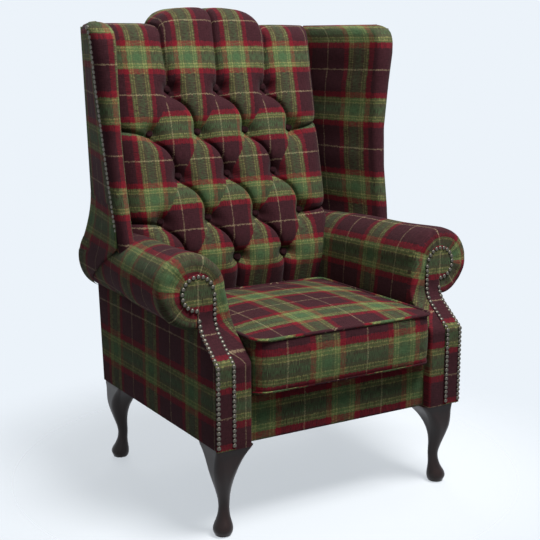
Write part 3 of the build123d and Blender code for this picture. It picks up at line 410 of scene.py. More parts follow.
def rounded(points, radii, line_steps, arc_steps=8):
    """Points along a flat polyline with rounded corners, the same count whatever its shape."""
    points = [np.asarray(p, float) for p in points]
    out = [points[0]]
    for i, radius in enumerate(radii, 1):
        before, corner, after = points[i - 1 : i + 2]
        back, ahead = before - corner, after - corner
        back_length, ahead_length = np.linalg.norm(back), np.linalg.norm(ahead)
        back, ahead = back / back_length, ahead / ahead_length
        half = np.arccos(np.clip(back @ ahead, -1, 1)) / 2
        reach = min(radius / np.tan(half), back_length * 0.49, ahead_length * 0.49)
        radius = reach * np.tan(half)
        middle = back + ahead
        centre = corner + middle / np.linalg.norm(middle) * radius / np.sin(half)
        start, end = corner + back * reach, corner + ahead * reach
        out.extend(steps_to(out[-1], start, line_steps[i - 1]))
        a, b = start - centre, end - centre
        turn = np.arctan2(a[0] * b[1] - a[1] * b[0], a @ b)
        for k in range(1, arc_steps + 1):
            c, s = cos(turn * k / arc_steps), sin(turn * k / arc_steps)
            out.append(centre + np.array([c * a[0] - s * a[1], s * a[0] + c * a[1]]))
    out.extend(steps_to(out[-1], points[-1], line_steps[-1]))
    return np.array(out)


def lengths(path):
    """Distance along a path at each of its points."""
    steps = np.linalg.norm(np.diff(path, axis=0), axis=1)
    return np.concatenate([[0], np.cumsum(steps)])


def along(path, distance):
    """Points and unit directions at distances along a path."""
    at = lengths(path)

    def place(where):
        return np.stack([np.interp(where, at, column) for column in path.T], 1)

    distance = np.atleast_1d(distance)
    way = place(distance + 1e-4) - place(distance - 1e-4)
    return place(distance), way / np.linalg.norm(way, axis=1, keepdims=True)


def grid_normals(points):
    """Unit normals of a grid of points."""
    du = np.gradient(points, axis=1)
    dv = np.gradient(points, axis=0)
    normal = np.cross(du, dv)
    return normal / np.maximum(np.linalg.norm(normal, axis=2, keepdims=True), 1e-9)


def joined(parts):
    """One set of points, quads and corner uvs from several."""
    points, quads, uvs, start = [], [], [], 0
    for part_points, part_quads, part_uv in parts:
        points.append(part_points)
        quads.append(part_quads + start)
        uvs.append(part_uv)
        start += len(part_points)
    return np.concatenate(points), np.concatenate(quads), np.concatenate(uvs)


def mirrored(points, side):
    """Points for the right (1) or the left (-1) side."""
    return points * np.array([side, 1, 1])


# ---------------------------------------------------------------- buttoned back
CREST_X = (0, 0.06, 0.10, 0.125, 0.145, 0.16, 0.175, 0.2, 0.3)
CREST_HEIGHT = (1.120, 1.117, 1.113, 1.106, 1.094, 1.083, 1.0785, 1.077, 1.0765)
buttons = [
    (x, BUTTON_Z - row * PITCH_Z)
    for row in range(5)
    for x in (
        (-PITCH_X, 0, PITCH_X)
        if row % 2 == 0
        else (-EDGE_BUTTON_X, -PITCH_X / 2, PITCH_X / 2, EDGE_BUTTON_X)
    )
]
LAST_ROW_Z = BUTTON_Z - 4 * PITCH_Z


def crest_z(x):
    """Height of the serpentine crest."""
    fine = np.linspace(-0.31, 0.31, 621)
    height = np.interp(abs(fine), CREST_X, CREST_HEIGHT)
    kernel = np.hanning(19)
    padded = np.pad(height, 9, mode="edge")
    smooth = np.convolve(padded, kernel / kernel.sum(), mode="valid")
    return np.interp(x, fine, smooth)


def back_column(x):
    """Side outline (y, z) of the padded back at one place across it, up and over the crest."""
    top, front_top = crest_z(x), crest_z(x * CREST_PINCH)
    t = min(max((abs(x) - BACK_FLAT) / (BACK_HALF - BACK_FLAT), 0), 1)
    fall = 1 - (1 - t**2) ** 0.5
    lumbar_z = CUSHION_TOP_Z + LUMBAR_RISE
    front = []
    for y, z in (
        (0.1465, 0.335),
        (0.142, 0.375),
        (button_y(lumbar_z) - PAD_PROUD, lumbar_z),
        (button_y(front_top) - PAD_PROUD, front_top),
    ):
        front.append((y + fall * (crease_y(z) - y), z))
    roll = SHOULDER_ROLL + CROWN_ROLL * (top - SHOULDER_Z) / (HEIGHT - SHOULDER_Z)
    nose = rear_y(top) + roll
    roll_z = top - 0.195
    rear = [
        (nose, top),
        (nose, top - 0.06),
        (rear_y(roll_z), roll_z),
        (rear_y(SHEET_TOP_Z) - 0.003, SHEET_TOP_Z),
    ]
    radii = [0.04, 0.12, 0.055, 0.022, 0.03, 0.18]
    return rounded(front + rear, radii, [4, 12, 220, 6, 5, 24, 3], 14)


# Folds as the fullness along them, their width and power, how far they bow, and open ends.
SHARP_FOLD = (0.48, 0.010, 0.95, FOLD_BULGE)
SOFT_FOLD = (0.7, 0.02, 1.5)
PLEAT = (0.74, 0.012, 1.1, 0.0, True)


def fold_ends():
    """Folds between neighbouring buttons: those that fall to the right, then to the left."""
    falling, rising = [], []
    for x, z in buttons:
        for other_x, other_z in buttons:
            if abs(z - PITCH_Z - other_z) > 1e-6 or abs(other_x - x) > PITCH_X * 0.6:
                continue
            pair = ((x, z), (other_x, other_z))
            (falling if other_x > x else rising).append(pair)
    return falling, rising


def fold_field(x, z, ends, ridge, width, power, bulge=0.0, open_end=False):
    """Fullness 0-1 of the padding beside one fold, and the distance to the fold."""
    (ax, az), (bx, bz) = ends
    length = np.hypot(bx - ax, bz - az)
    ux, uz = (bx - ax) / length, (bz - az) / length
    run = (x - ax) * ux + (z - az) * uz
    off = (x - ax) * -uz + (z - az) * ux
    t = np.clip(run / length, 0, 1)
    off = off - bulge * np.sin(pi * t) ** 2
    distance = np.hypot(run - t * length, off)
    lift = ridge * (t**0.5 if open_end else np.sin(pi * t) ** 0.5)
    return lift + (1 - lift) * (1 - np.exp(-((distance / width) ** power))), distance


def pleat_ends():
    """Pleats from the outermost buttons to the crest, the seat and the wings."""
    out = []
    for x, crest_x in ((0, 0), (PITCH_X, 0.162), (-PITCH_X, -0.162)):
        out.append(((x, BUTTON_Z), (crest_x, 1.22)))
        out.append(((x, LAST_ROW_Z), (x * 1.04, 0.30)))
    for side in (-1, 1):
        for row, rise in ((1, 0.012), (3, 0.004)):
            z = BUTTON_Z - row * PITCH_Z
            out.append(((side * EDGE_BUTTON_X, z), (side * BACK_HALF, z + rise)))
    return out


def fullness(x, z):
    """How far the padding stands out of its button plane, 0 at a button to 1."""
    falling, rising = fold_ends()
    sharp, sharp_gap = np.ones_like(x), np.full_like(x, 1.0)
    for ends in falling:
        field, gap = fold_field(x, z, ends, *SHARP_FOLD)
        sharp, sharp_gap = np.minimum(sharp, field), np.minimum(sharp_gap, gap)
    soft = np.ones_like(x)
    for ends in rising:
        soft = np.minimum(soft, fold_field(x, z, ends, *SOFT_FOLD)[0])
    for ends in pleat_ends():
        field, gap = fold_field(x, z, ends, *PLEAT)
        soft, sharp_gap = np.minimum(soft, field), np.minimum(sharp_gap, gap)
    well = np.ones_like(x)
    for bx, bz in buttons:
        near = np.hypot(x - bx, z - bz)
        well = np.minimum(well, 1 - np.exp(-((np.maximum(near - 0.009, 0) / 0.0125) ** 1.35)))
    groove = 0.006 * np.exp(-((sharp_gap / 0.0025) ** 2))
    return (sharp * soft * well) ** 0.8, groove


BACK_CHECK_AT = (0.017, CHECK / 2 - 0.005)
BACK_CHECK_Z = 0.827


def back_cell(x, z):
    """Middle of the diamond of cloth that a point of the back belongs to."""
    across = np.interp(abs(x), [0, PITCH_X, EDGE_BUTTON_X, 0.3], [0, 1, 1.5, 2.3])
    across = across * np.sign(x)
    rise = (z - BUTTON_Z) / (2 * PITCH_Z)
    bowed = across + rise - FOLD_BOW * np.sin(pi * (across - rise)) ** 2
    a, b = np.floor(bowed) + 0.5, np.floor(across - rise) + 0.5
    cell_x, cell_z = PITCH_X * (a + b) / 2, BUTTON_Z + PITCH_Z * (a - b)
    side_x = np.where(abs(x) < PITCH_X, PITCH_X / 2, PITCH_X * 1.5) * np.sign(x + 1e-9)
    strip = (z > BUTTON_Z) | (z < LAST_ROW_Z)
    beyond = abs(cell_x) > PITCH_X * 1.8
    cell_x = np.where(strip | beyond, side_x, cell_x)
    row = np.clip(np.round((BUTTON_Z - z) / (2 * PITCH_Z)), 0, 2)
    cell_z = np.where(strip | beyond, BUTTON_Z - row * 2 * PITCH_Z, cell_z)
    return cell_x, cell_z


def back_uv(x, z, cell_x, cell_z):
    """Cloth coordinates in metres; each diamond carries its own piece of the check."""
    u_start, v_start = BACK_CHECK_AT
    shift = np.where(abs(np.round(cell_x / PITCH_X) - cell_x / PITCH_X) < 0.25, 0, CHECK / 2)
    u = shift + u_start + 1.2 * (x - cell_x)
    v = v_start + 1.25 * (cell_z - BACK_CHECK_Z) + 1.12 * (z - cell_z)
    return np.stack([u, v], -1)


# The cloth is laid out flat from a level on its front rows; its foot keeps its own heights.
FRONT_ROWS = 200
FOOT_ROWS = 64
LEVEL_Z = 0.9


def buttoned_back():
    """The inside back with its deep diamonds, carried over the serpentine crest."""
    columns = np.linspace(-BACK_HALF, BACK_HALF, 301)
    base = np.array([np.insert(back_column(x), 0, x, axis=1) for x in columns])
    base = base.transpose(1, 0, 2)
    x = base[:, :, 0]
    steps = np.linalg.norm(np.diff(base[:, :, 1:], axis=0), axis=2)
    run = np.concatenate([np.zeros((1, len(columns))), np.cumsum(steps, axis=0)])
    turned = run * cos(BACK_LEAN)
    level = np.argmin(abs(base[:FRONT_ROWS, :, 2] - LEVEL_Z), axis=0)
    offset = base[level, range(len(columns)), 2] - turned[level, range(len(columns))]
    at_foot = np.arange(len(base))[:, None] < FOOT_ROWS
    flat_z = np.where(at_foot, base[:, :, 2], turned + offset)
    full, groove = fullness(x, flat_z)
    fade = np.clip((flat_z - 0.34) / 0.05, 0, 1) * np.clip((1.42 - flat_z) / 0.12, 0, 1)
    edge = np.clip((BACK_HALF - abs(x)) / 0.02, 0, 1) ** 0.5
    normal = grid_normals(base)
    depth = (PAD_RISE * (1 - full) + groove) * fade * edge
    points = base - normal * depth[:, :, None] * np.sign(-normal[150, 150, 1])
    quads = grid_quads(*x.shape)
    quad_x, quad_z = x.ravel()[quads], flat_z.ravel()[quads]
    cell_x, cell_z = back_cell(quad_x.mean(1), quad_z.mean(1))
    uv = back_uv(quad_x, quad_z, cell_x[:, None], cell_z[:, None])
    piece = mesh_piece(
        "buttoned_back", points, quads, uv, tartan, ("inside_back_cover", "back_foam")
    )
    return piece


def dome(profile, segments):
    """Points and quads of a dome on the origin that rises along +Z; profile is (radius, z)."""
    angle = np.linspace(0, tau, segments, endpoint=False)
    rings = np.array(profile)
    points = np.stack(
        [
            rings[:, :1] * np.cos(angle),
            rings[:, :1] * np.sin(angle),
            np.repeat(rings[:, 1:], segments, axis=1),
        ],
        -1,
    )
    at = np.arange(points.shape[0] * segments).reshape(-1, segments)
    turned = np.roll(at, -1, axis=1)
    quads = np.stack([at[:-1], turned[:-1], turned[1:], at[1:]], -1).reshape(-1, 4)
    return points.reshape(-1, 3), quads


def stamped(name, shape, places, material, nodes, spread):
    """One piece of many copies of a shape, each at a place with its own +Z direction."""
    points, quads = shape
    parts = []
    for at, way in places:
        turn = Vector(way).to_track_quat("Z", "Y").to_matrix()
        patch = points[:, :2] + rng.uniform(0, spread, 2) + 0.018
        parts.append((points @ np.array(turn).T + np.array(at), quads, patch[quads]))
    return mesh_piece(name, *joined(parts), material, nodes)


def back_buttons():
    way = (0, -cos(BACK_LEAN), sin(BACK_LEAN))
    profile = [(0.0094, -0.004), (0.0104, 0.0), (0.0102, 0.0012), (0.009, 0.0032)]
    profile += [(0.0066, 0.0046), (0.0036, 0.0053), (0.0001, 0.0055)]
    places = [((x, button_y(z), z), way) for x, z in buttons]
    # The buttons wear the darkened copy of the tartan, painted shade for their pits.
    return stamped(
        "covered_buttons", dome(profile, 20), places, BUTTON_CLOTH_PAINTED_SHADE, ("back_buttons",), 0.02
    )


def outside_back():
    """Flat rear panel, slightly full, from under the crest to the bottom of the frame."""
    z = np.linspace(FRAME_BOTTOM, 1.068, 110)
    half = np.where(z < WING_BASE_Z - 0.02, ARM_OUTER_X, 0.322)
    across = np.linspace(-1, 1, 61)
    x = half[:, None] * across[None, :]
    up = columns_of(z, len(across))
    puff = 0.002 * (1 - across[None, :] ** 4) * np.clip((up - FRAME_BOTTOM) / 0.05, 0, 1)
    y = rear_y(up) + puff - 0.0005
    points = np.stack([x, y, up], -1)
    uv = check_uv("outside_back", x, up)
    panel = grid_piece("outside_back_panel", points, uv, ("outside_back_cover",), flip=True)


# ---------------------------------------------------------------- wings
# Height share, nailed corner x, corner distance behind the arm front, inner face x.
WING_STATIONS = np.array(
    [
        (0.0, 0.371, 0.362, 0.337),
        (0.12, 0.376, 0.374, 0.340),
        (0.31, 0.380, 0.394, 0.342),
        (0.5, 0.386, 0.405, 0.345),
        (0.72, 0.399, 0.405, 0.349),
        (0.865, 0.407, 0.401, 0.352),
        (1.0, 0.411, 0.405, 0.354),
    ]
)
WING_NOSE = 0.028
WING_REAR_X = 0.322
APRON_TOP_Z = 0.67
APRON_PROUD = 0.0022
WING_TIP = 32
WING_SEAM_COLUMN = 40
WING_TOP_RADIUS = 0.05
WING_CROWN_RADIUS = 0.022


def wing_station(z):
    """Nailed corner (x, y) and inner face x of the wing at heights."""
    share = (z - WING_BASE_Z) / (WING_TOP_Z - WING_BASE_Z)
    corner_x, back, face_x = (
        np.interp(share, WING_STATIONS[:, 0], WING_STATIONS[:, k]) for k in (1, 2, 3)
    )
    return corner_x, ARM_FRONT_Y + back, face_x


def wing_section(z):
    """Inner and outer sides of the wing at a height, each from the rear to the nose's tip."""
    corner_x, corner_y, face_x = (float(v) for v in wing_station(z))
    crease = np.array([BACK_HALF, crease_y(z) + 0.004])
    face = np.array([face_x, corner_y - WING_NOSE / 3])
    tip = np.array([(corner_x + face_x) / 2, corner_y - WING_NOSE])
    corner = np.array([corner_x, corner_y])
    rear = np.array([WING_REAR_X, rear_y(z) - 0.001])
    t = np.linspace(0, 1, 25)[:, None]
    full = np.sin(pi * t) * 0.007
    normal = np.array([-(face - crease)[1], (face - crease)[0]])
    normal = normal / np.linalg.norm(normal) * (1 if normal[0] < 0 else -1)
    flat_side = crease + (face - crease) * t**0.9 + full * normal
    inner = np.concatenate([flat_side[:-1], quarter(face, tip, (face_x, tip[1]))])
    outer_side = rear + (corner - rear) * t
    outer = np.concatenate([outer_side[:-1], quarter(corner, tip, (corner_x, tip[1]))])
    return inner, outer


def quarter(start, end, via):
    """Rounded corner between two points."""
    t = np.linspace(0, 1, 9)[:, None]
    start, end, via = np.array(start), np.array(end), np.array(via)
    via = via * 0.82 + (start + end) / 2 * 0.18
    return (1 - t) ** 2 * start + 2 * t * (1 - t) * via + t**2 * end


def top_setback(z):
    """How far the wing's front has rounded back at a height near its top."""
    over = max(0.0, min(z, WING_TOP_Z) - (WING_TOP_Z - WING_TOP_RADIUS))
    return WING_TOP_RADIUS - max(0.0, WING_TOP_RADIUS**2 - over**2) ** 0.5


def wing_ring(z, turn):
    """Closed ring (x, y, z) at a height; turn goes from 0 to 1 over the rounded top."""
    inner, outer = wing_section(min(z, WING_TOP_Z - 0.001))
    middle = (inner + outer) / 2
    half = np.linalg.norm(inner - outer, axis=1, keepdims=True) / 2
    soft = np.minimum(WING_CROWN_RADIUS, half)
    angle = turn * pi / 2
    scale = (half - soft * (1 - cos(angle))) / np.maximum(half, 1e-6)
    height = z if turn == 0 else WING_TOP_Z - WING_CROWN_RADIUS * (1 - sin(angle))
    back = top_setback(height)
    ring = []
    for side in (inner, outer):
        flat = middle + (side - middle) * scale
        reach = flat[0, 1] - flat[-1, 1]
        flat[:, 1] = flat[0, 1] - (flat[0, 1] - flat[:, 1]) * (reach - back) / reach
        ring.append(flat)
    return np.insert(np.concatenate([ring[0], ring[1][::-1][1:]]), 2, height, axis=1)


def wing_rings():
    """Rings up the wing and over its top, with two that close it."""
    low_top = WING_TOP_Z - WING_CROWN_RADIUS
    heights = np.concatenate([np.linspace(0.47, 1.02, 70), np.linspace(1.024, low_top, 13)])
    rings = [wing_ring(z, 0.0) for z in heights]
    rings += [wing_ring(WING_TOP_Z, turn) for turn in np.linspace(0.08, 1, 12)]
    inner, outer = rings[-1][: WING_TIP + 1], rings[-1][WING_TIP:][::-1]
    middle = (inner + outer) / 2
    for share in (0.5, 0.02):
        low = middle + (inner - middle) * share
        high = middle + (outer - middle) * share
        loop = np.concatenate([low, high[::-1][1:]])
        loop[:, 2] += 0.0012 * (1 - share)
        rings.append(loop)
    return np.array(rings), np.array([lengths(ring[:, :2]) for ring in rings])


def wing(side, label):
    """One flared, padded wing."""
    rings, runs = wing_rings()
    height = lengths(rings[:, WING_TIP])
    pleats = 0.0012 * np.sin(rings[:, :, 2] * 70) * np.sin(pi * np.clip(runs / 0.25, 0, 1))
    rings[:, :, 0] -= pleats
    across = runs - runs[:, WING_TIP][:, None] + 0.08
    up = columns_of(height + 0.03, across.shape[1])
    quads = grid_quads(*rings.shape[:2])
    u, v = across.ravel()[quads], up.ravel()[quads]
    inside = np.arange(len(quads)) % (across.shape[1] - 1) < WING_SEAM_COLUMN
    inner_uv, outer_uv = check_uv(f"wing_{label}", u, v), check_uv("wing_outside", u, v)
    uv = np.where(inside[:, None, None], inner_uv, outer_uv)
    if side < 0:
        quads, uv = quads[:, ::-1], uv[:, ::-1]
    nodes = tuple(f"{n}_{label}" for n in ("inside_wing_cover", "outside_wing_cover", "wing_pad"))
    piece = mesh_piece(f"wing_{label}", mirrored(rings, side), quads, uv, tartan, nodes)


# ---------------------------------------------------------------- arms
UNDER_DEPTHS = (0.052, 0.044, 0.036, 0.028, 0.022)
FRONT_STEPS = 8
FRONT_PROUD = 0.0028
GATHER = 0.0028
FRONT_LINE = rounded(
    [(ARM_FRONT_Y, FRAME_BOTTOM), (ARM_FRONT_Y, 0.384), (SCROLL_Y, 0.448), (SCROLL_Y, 0.62)],
    [0.008, 0.055],
    [30, 10, 30],
    16,
)


def front_edge_y(z):
    """Depth of the arm's front line at a height."""
    return np.interp(z, FRONT_LINE[:, 1], FRONT_LINE[:, 0])


def roll_ellipse(share):
    """Centre x, z and half width and height of the roll, from its scroll (0) to its back (1)."""
    front = (SCROLL[0], SCROLL[1], SCROLL[2], SCROLL[2])
    return [a + (b - a) * share for a, b in zip(front, ROLL_BACK)]


def roll_share(y):
    """How far along the roll a depth is."""
    return np.clip((y - SCROLL_Y) / (ROLL_END_Y - SCROLL_Y), 0, 1)


def arm_section(share):
    """Arm section (x, z) from the deck up the inner wall and round the roll to its seam."""
    x, z, wide, high = roll_ellipse(share)
    low = np.linspace(DECK_TOP - 0.105, 0.44, 26)[:, None]
    wall = np.concatenate([np.full_like(low, ARM_INNER_X), low], 1)
    t = np.linspace(0, 1, 10)[1:-1, None]
    lean = (1 - t) ** 2 * np.array([ARM_INNER_X, 0.44]) + t**2 * np.array([x - wide, z])
    lean = lean + 2 * t * (1 - t) * np.array([(ARM_INNER_X + x - wide) / 2 - 0.001, 0.485])
    last = -90 - np.degrees(np.arcsin(np.clip((x - ARM_OUTER_X) / wide, -1, 1)))
    angle = np.radians(np.linspace(180, last, 64))
    roll = np.stack([x + wide * np.cos(angle), z + high * np.sin(angle)], 1)
    return np.concatenate([wall, lean, roll])


ARM_FRONT = arm_section(0)
ARM_BACK = arm_section(1)


def gathers(place):
    """Folds round the scroll, -0.2 to 1, that fade down the inner wall."""
    folds = abs(np.sin(place * 520 + 1.6 * np.sin(place * 61)) * np.sin(place * 33 + 1))
    return (1.2 * folds**0.8 - 0.2) * np.interp(place, [0.12, 0.24, 0.3], [0.2, 0.6, 1])


def arm_point_rows():
    """Arm surface rows from under the facing, over the front edge, to the rear face."""
    count = len(ARM_FRONT)
    inward = np.gradient(ARM_FRONT, axis=0)[:, ::-1] * np.array([1, -1])
    inward = inward / np.linalg.norm(inward, axis=1, keepdims=True)
    rounding = np.interp(np.arange(count), [0, 26, 34, count], [0.007, 0.007, 0.017, 0.017])
    place = lengths(ARM_FRONT)
    gather = gathers(place)
    rows, runs = [], []

    def add(flat, y, run=None):
        rows.append(np.stack([flat[:, 0], y, flat[:, 1]], 1))
        runs.append(run)

    for depth in UNDER_DEPTHS:
        flat = ARM_FRONT + inward * np.maximum(depth, rounding)[:, None]
        rise = GATHER * gather * np.clip((0.05 - depth) / 0.02, 0, 1)
        add(flat, front_edge_y(flat[:, 1]) + FRONT_PROUD - rise, -0.012 - depth)
    for turn in np.linspace(0, 1, FRONT_STEPS):
        angle = turn * pi / 2
        flat = ARM_FRONT + inward * (rounding * (1 - sin(angle)))[:, None]
        y = front_edge_y(flat[:, 1]) + FRONT_PROUD + rounding * (1 - cos(angle))
        y = y - GATHER * gather * (1 - 0.5 * turn)
        add(flat + inward * (GATHER / 2 * gather * turn)[:, None], y, -0.012 * (1 - turn))
    start = rows[-1][:, 1]
    end = rear_y(ARM_BACK[:, 1]) - 0.0015
    for share in np.linspace(0, 1, 60)[1:]:
        y = start + (end - start) * share
        flat = ARM_FRONT + (ARM_BACK - ARM_FRONT) * roll_share(y)[:, None]
        fade = GATHER / 2 * gather * np.exp(-(y - start) / 0.04)
        soft = 0.0014 * np.sin(y * 23 + place * 9) * np.clip(place / 0.2, 0, 1)
        add(flat + inward * (fade + soft)[:, None], y)
    middle, edge = np.array([ROLL_BACK[0], 0, ROLL_BACK[1]]), rows[-1]
    for share in (0.7, 0.3):
        inner = middle + (edge - middle) * share
        inner[:, 0] = np.maximum(inner[:, 0], ARM_INNER_X)
        inner[:, 1] = rear_y(inner[:, 2]) - 0.0015
        add(inner[:, ::2], inner[:, 1])
    return np.array(rows), runs, place


def arm(side, label):
    """Inside arm and scroll roll, gathered round the front."""
    rows, runs, place = arm_point_rows()
    u = rows[:, :, 1].copy()
    for index, run in enumerate(runs):
        if run is not None:
            u[index] = rows[len(UNDER_DEPTHS) + FRONT_STEPS, :, 1] + run
    uv = check_uv(f"arm_{label}", u, np.repeat(place[None, :], len(rows), 0))
    nodes = (f"inside_arm_cover_{label}", f"arm_pad_{label}")
    piece = grid_piece(f"arm_{label}", mirrored(rows, side), uv, nodes, flip=side > 0)


def outside_arm(side, label):
    """Outside arm panel, drawn in under the roll."""
    z = np.linspace(FRAME_BOTTOM - 0.0008, 0.4485, 50)
    share = np.linspace(0, 1, 61)
    start, end = front_edge_y(z) + 0.0026, rear_y(z) - 0.0004
    y = start[:, None] + (end - start)[:, None] * share[None, :]
    up = columns_of(z, len(share))
    edge = np.minimum(np.minimum(share[None, :], 1 - share[None, :]) * 12, 1)
    rise = np.clip((up - FRAME_BOTTOM) / 0.02, 0, 1) * np.clip((0.45 - up) / 0.02, 0, 1)
    x = ARM_OUTER_X - 0.001 + 0.002 * edge * rise
    uv = check_uv("outside_arm", y, up)
    points = mirrored(np.stack([x, y, up], -1), side)
    nodes = (f"outside_arm_cover_{label}",)
    panel = grid_piece(f"outside_arm_{label}", points, uv, nodes, flip=side < 0)


def wing_outer_x(z, y):
    """How far out the wing's outer panel lies at a height and depth."""
    corner_x, corner_y, _ = wing_station(z)
    share = np.clip((y - corner_y) / (rear_y(z) - corner_y), 0, 1)
    return corner_x + (WING_REAR_X - corner_x) * share


def wing_apron(side, label):
    """Outer wing cloth that flares down over the back part of the roll to its seam."""
    upper, lower = 24, 34
    turn = np.radians(np.linspace(12, -94, lower))
    rows = []
    for share in np.linspace(0, 1, 34):
        z = np.concatenate([np.linspace(APRON_TOP_Z, 0.535, upper), np.full(lower, 0.52)])
        for _ in range(3):  # the roll's height depends on the depth, and the depth on the height
            start = np.interp(z, [0.4, 0.576, 0.7], [0.345, 0.013, 0.032]) + 0.004
            y = start + (rear_y(z) - 0.001 - start) * share
            cx, cz, wide, high = roll_ellipse(roll_share(y))
            wide, high = wide + APRON_PROUD, high + APRON_PROUD
            z[upper:] = cz[upper:] + high[upper:] * np.sin(turn)
        low = cx[:upper] + wide[:upper] * cos(turn[0])
        wing_x = wing_outer_x(z[:upper], y[:upper]) + 0.0006
        t = np.clip((APRON_TOP_Z - z[:upper]) / (APRON_TOP_Z - z[upper]), 0, 1)
        roll_x = cx[upper:] + wide[upper:] * np.cos(turn)
        x = np.concatenate([wing_x + (low - wing_x) * t**1.7, roll_x])
        x -= APRON_PROUD * (share == 0)
        rows.append(np.stack([x, y, z], 1))
    rows = np.array(rows)
    uv = check_uv("wing_apron", rows[:, :, 1], rows[:, :, 2])
    apron = grid_piece(f"wing_apron_{label}", mirrored(rows, side), uv, flip=side > 0)


def facing(side, label):
    """Narrow facing up the front of the arm, with its round head on the scroll."""
    head_x, head_z, radius = FACING_HEAD
    strip = np.linspace(FRAME_BOTTOM + 0.002, head_z - radius, 60)[:-1]
    start = np.arcsin((FACING_OUTER_X - head_x) / radius)
    angle = np.linspace(start, pi, 44)
    z = np.concatenate([strip, head_z - radius * np.cos(angle)])
    reach = np.sqrt(np.maximum(radius**2 - (z - head_z) ** 2, 0))
    in_head = z >= head_z - radius * cos(start)
    right = np.where(in_head, head_x + reach, FACING_OUTER_X)
    left = np.where(z <= head_z, FACING_INNER_X, head_x - reach)
    left = np.where((z > head_z) & (left < FACING_INNER_X + 0.002), FACING_INNER_X + 0.002, left)
    columns = 17
    share = (1 - np.cos(np.linspace(0, pi, columns))) / 2
    x = left[:, None] + (right - left)[:, None] * share[None, :]
    up = columns_of(z, columns)
    from_strip = np.minimum(x - FACING_INNER_X, FACING_OUTER_X - x)
    from_strip = np.where(up <= head_z, from_strip, -1)
    from_head = radius - np.hypot(x - head_x, up - head_z)
    inside = np.clip(np.maximum(from_strip, from_head), 0, 0.0025) / 0.0025
    rise = FACING_RISE * np.sqrt(1 - (1 - inside) ** 2)
    at = np.interp(z, FRONT_LINE[:, 1], lengths(FRONT_LINE))
    _, way = along(FRONT_LINE, at)
    y = front_edge_y(up) + 0.0026 - rise * way[:, 1][:, None]
    lift = rise * way[:, 0][:, None]
    points = mirrored(np.stack([x, y, up + lift], -1), side)
    uv = check_uv("facing", x, columns_of(at, columns))
    grid_piece(f"facing_{label}", points, uv, (f"arm_facing_{label}",), flip=side < 0)


# ---------------------------------------------------------------- nails
def strip_nails(x, z_high):
    """Nails up one side of a facing."""
    line = FRONT_LINE[(FRONT_LINE[:, 1] >= FRAME_BOTTOM) & (FRONT_LINE[:, 1] <= z_high + 0.002)]
    total = lengths(line)[-1]
    places, ways = along(line, np.arange(0.012, total, NAIL_PITCH))
    return [
        ((x, y - FACING_RISE * 0.3 * way[1], z), (0, -way[1], way[0]))
        for (y, z), way in zip(places, ways)
    ]


def scroll_nails():
    """Nails round the head of a facing."""
    head_x, head_z, radius = FACING_HEAD
    radius = radius - NAIL_MARGIN
    sweep = radians(265)
    count = int(sweep * radius / NAIL_PITCH)
    angles = [pi - index * sweep / count for index in range(1, count + 1)]
    return [
        ((head_x + radius * cos(a), SCROLL_Y - 0.0005, head_z + radius * sin(a)), (0, -1, 0))
        for a in angles
    ]


def wing_nails():
    """Nails down the outer front corner of a wing."""
    height = WING_TOP_Z - WING_BASE_Z
    low, high = 0.11, 0.975
    count = int((high - low) * height / NAIL_PITCH)
    turn = radians(30)
    way = (cos(turn), -sin(turn), 0)
    nails = []
    for index in range(count + 1):
        z = WING_BASE_Z + height * (low + index * (high - low) / count)
        x, y, _ = wing_station(z)
        back = top_setback(z)
        nails.append(((float(x) - 0.0015, float(y) - 0.001 + back * 0.8, z), way))
    return nails


def upholstery_nails():
    head_x, head_z, radius = FACING_HEAD
    right = strip_nails(FACING_INNER_X + NAIL_MARGIN, head_z)
    right += strip_nails(FACING_OUTER_X - NAIL_MARGIN, head_z - radius - NAIL_RADIUS)
    right += scroll_nails() + wing_nails()
    left = [((-x, y, z), (-wx, wy, wz)) for (x, y, z), (wx, wy, wz) in right]
    profile = [(0.0046, -0.001), (NAIL_RADIUS, 0.0003), (0.0046, 0.0011), (0.0039, 0.0019)]
    profile += [(0.0027, 0.0026), (0.0013, 0.0029), (0.0001, NAIL_RISE)]
    return stamped(
        "dome_nails", dome(profile, 14), right + left, NAIL_METAL, ("upholstery_nails",), 0.01
    )


# ---------------------------------------------------------------- loose cushion
def cushion_outline(x, y):
    """Moves points of a square-cornered plan to one with round corners."""
    mid_y = CUSHION_FRONT_Y + CUSHION_DEPTH / 2
    out_x, out_y = x.copy(), y.copy()
    for front, radius in ((True, CUSHION_FRONT_RADIUS), (False, CUSHION_BACK_RADIUS)):
        corner_x = CUSHION_HALF - radius
        a = np.clip((abs(x) - corner_x) / radius, 0, 1)
        if front:
            b = np.clip((CUSHION_FRONT_Y + radius - y) / radius, 0, 1)
        else:
            b = np.clip((y - (CUSHION_FRONT_Y + CUSHION_DEPTH - radius)) / radius, 0, 1)
        hit = (a > 0) & (b > 0) & ((y < mid_y) == front)
        new_a, new_b = a * np.sqrt(1 - b**2 / 2), b * np.sqrt(1 - a**2 / 2)
        out_x = np.where(hit, np.sign(x) * (corner_x + radius * new_a), out_x)
        shift = radius * (new_b - b)
        out_y = np.where(hit, y - shift if front else y + shift, out_y)
    return out_x, out_y


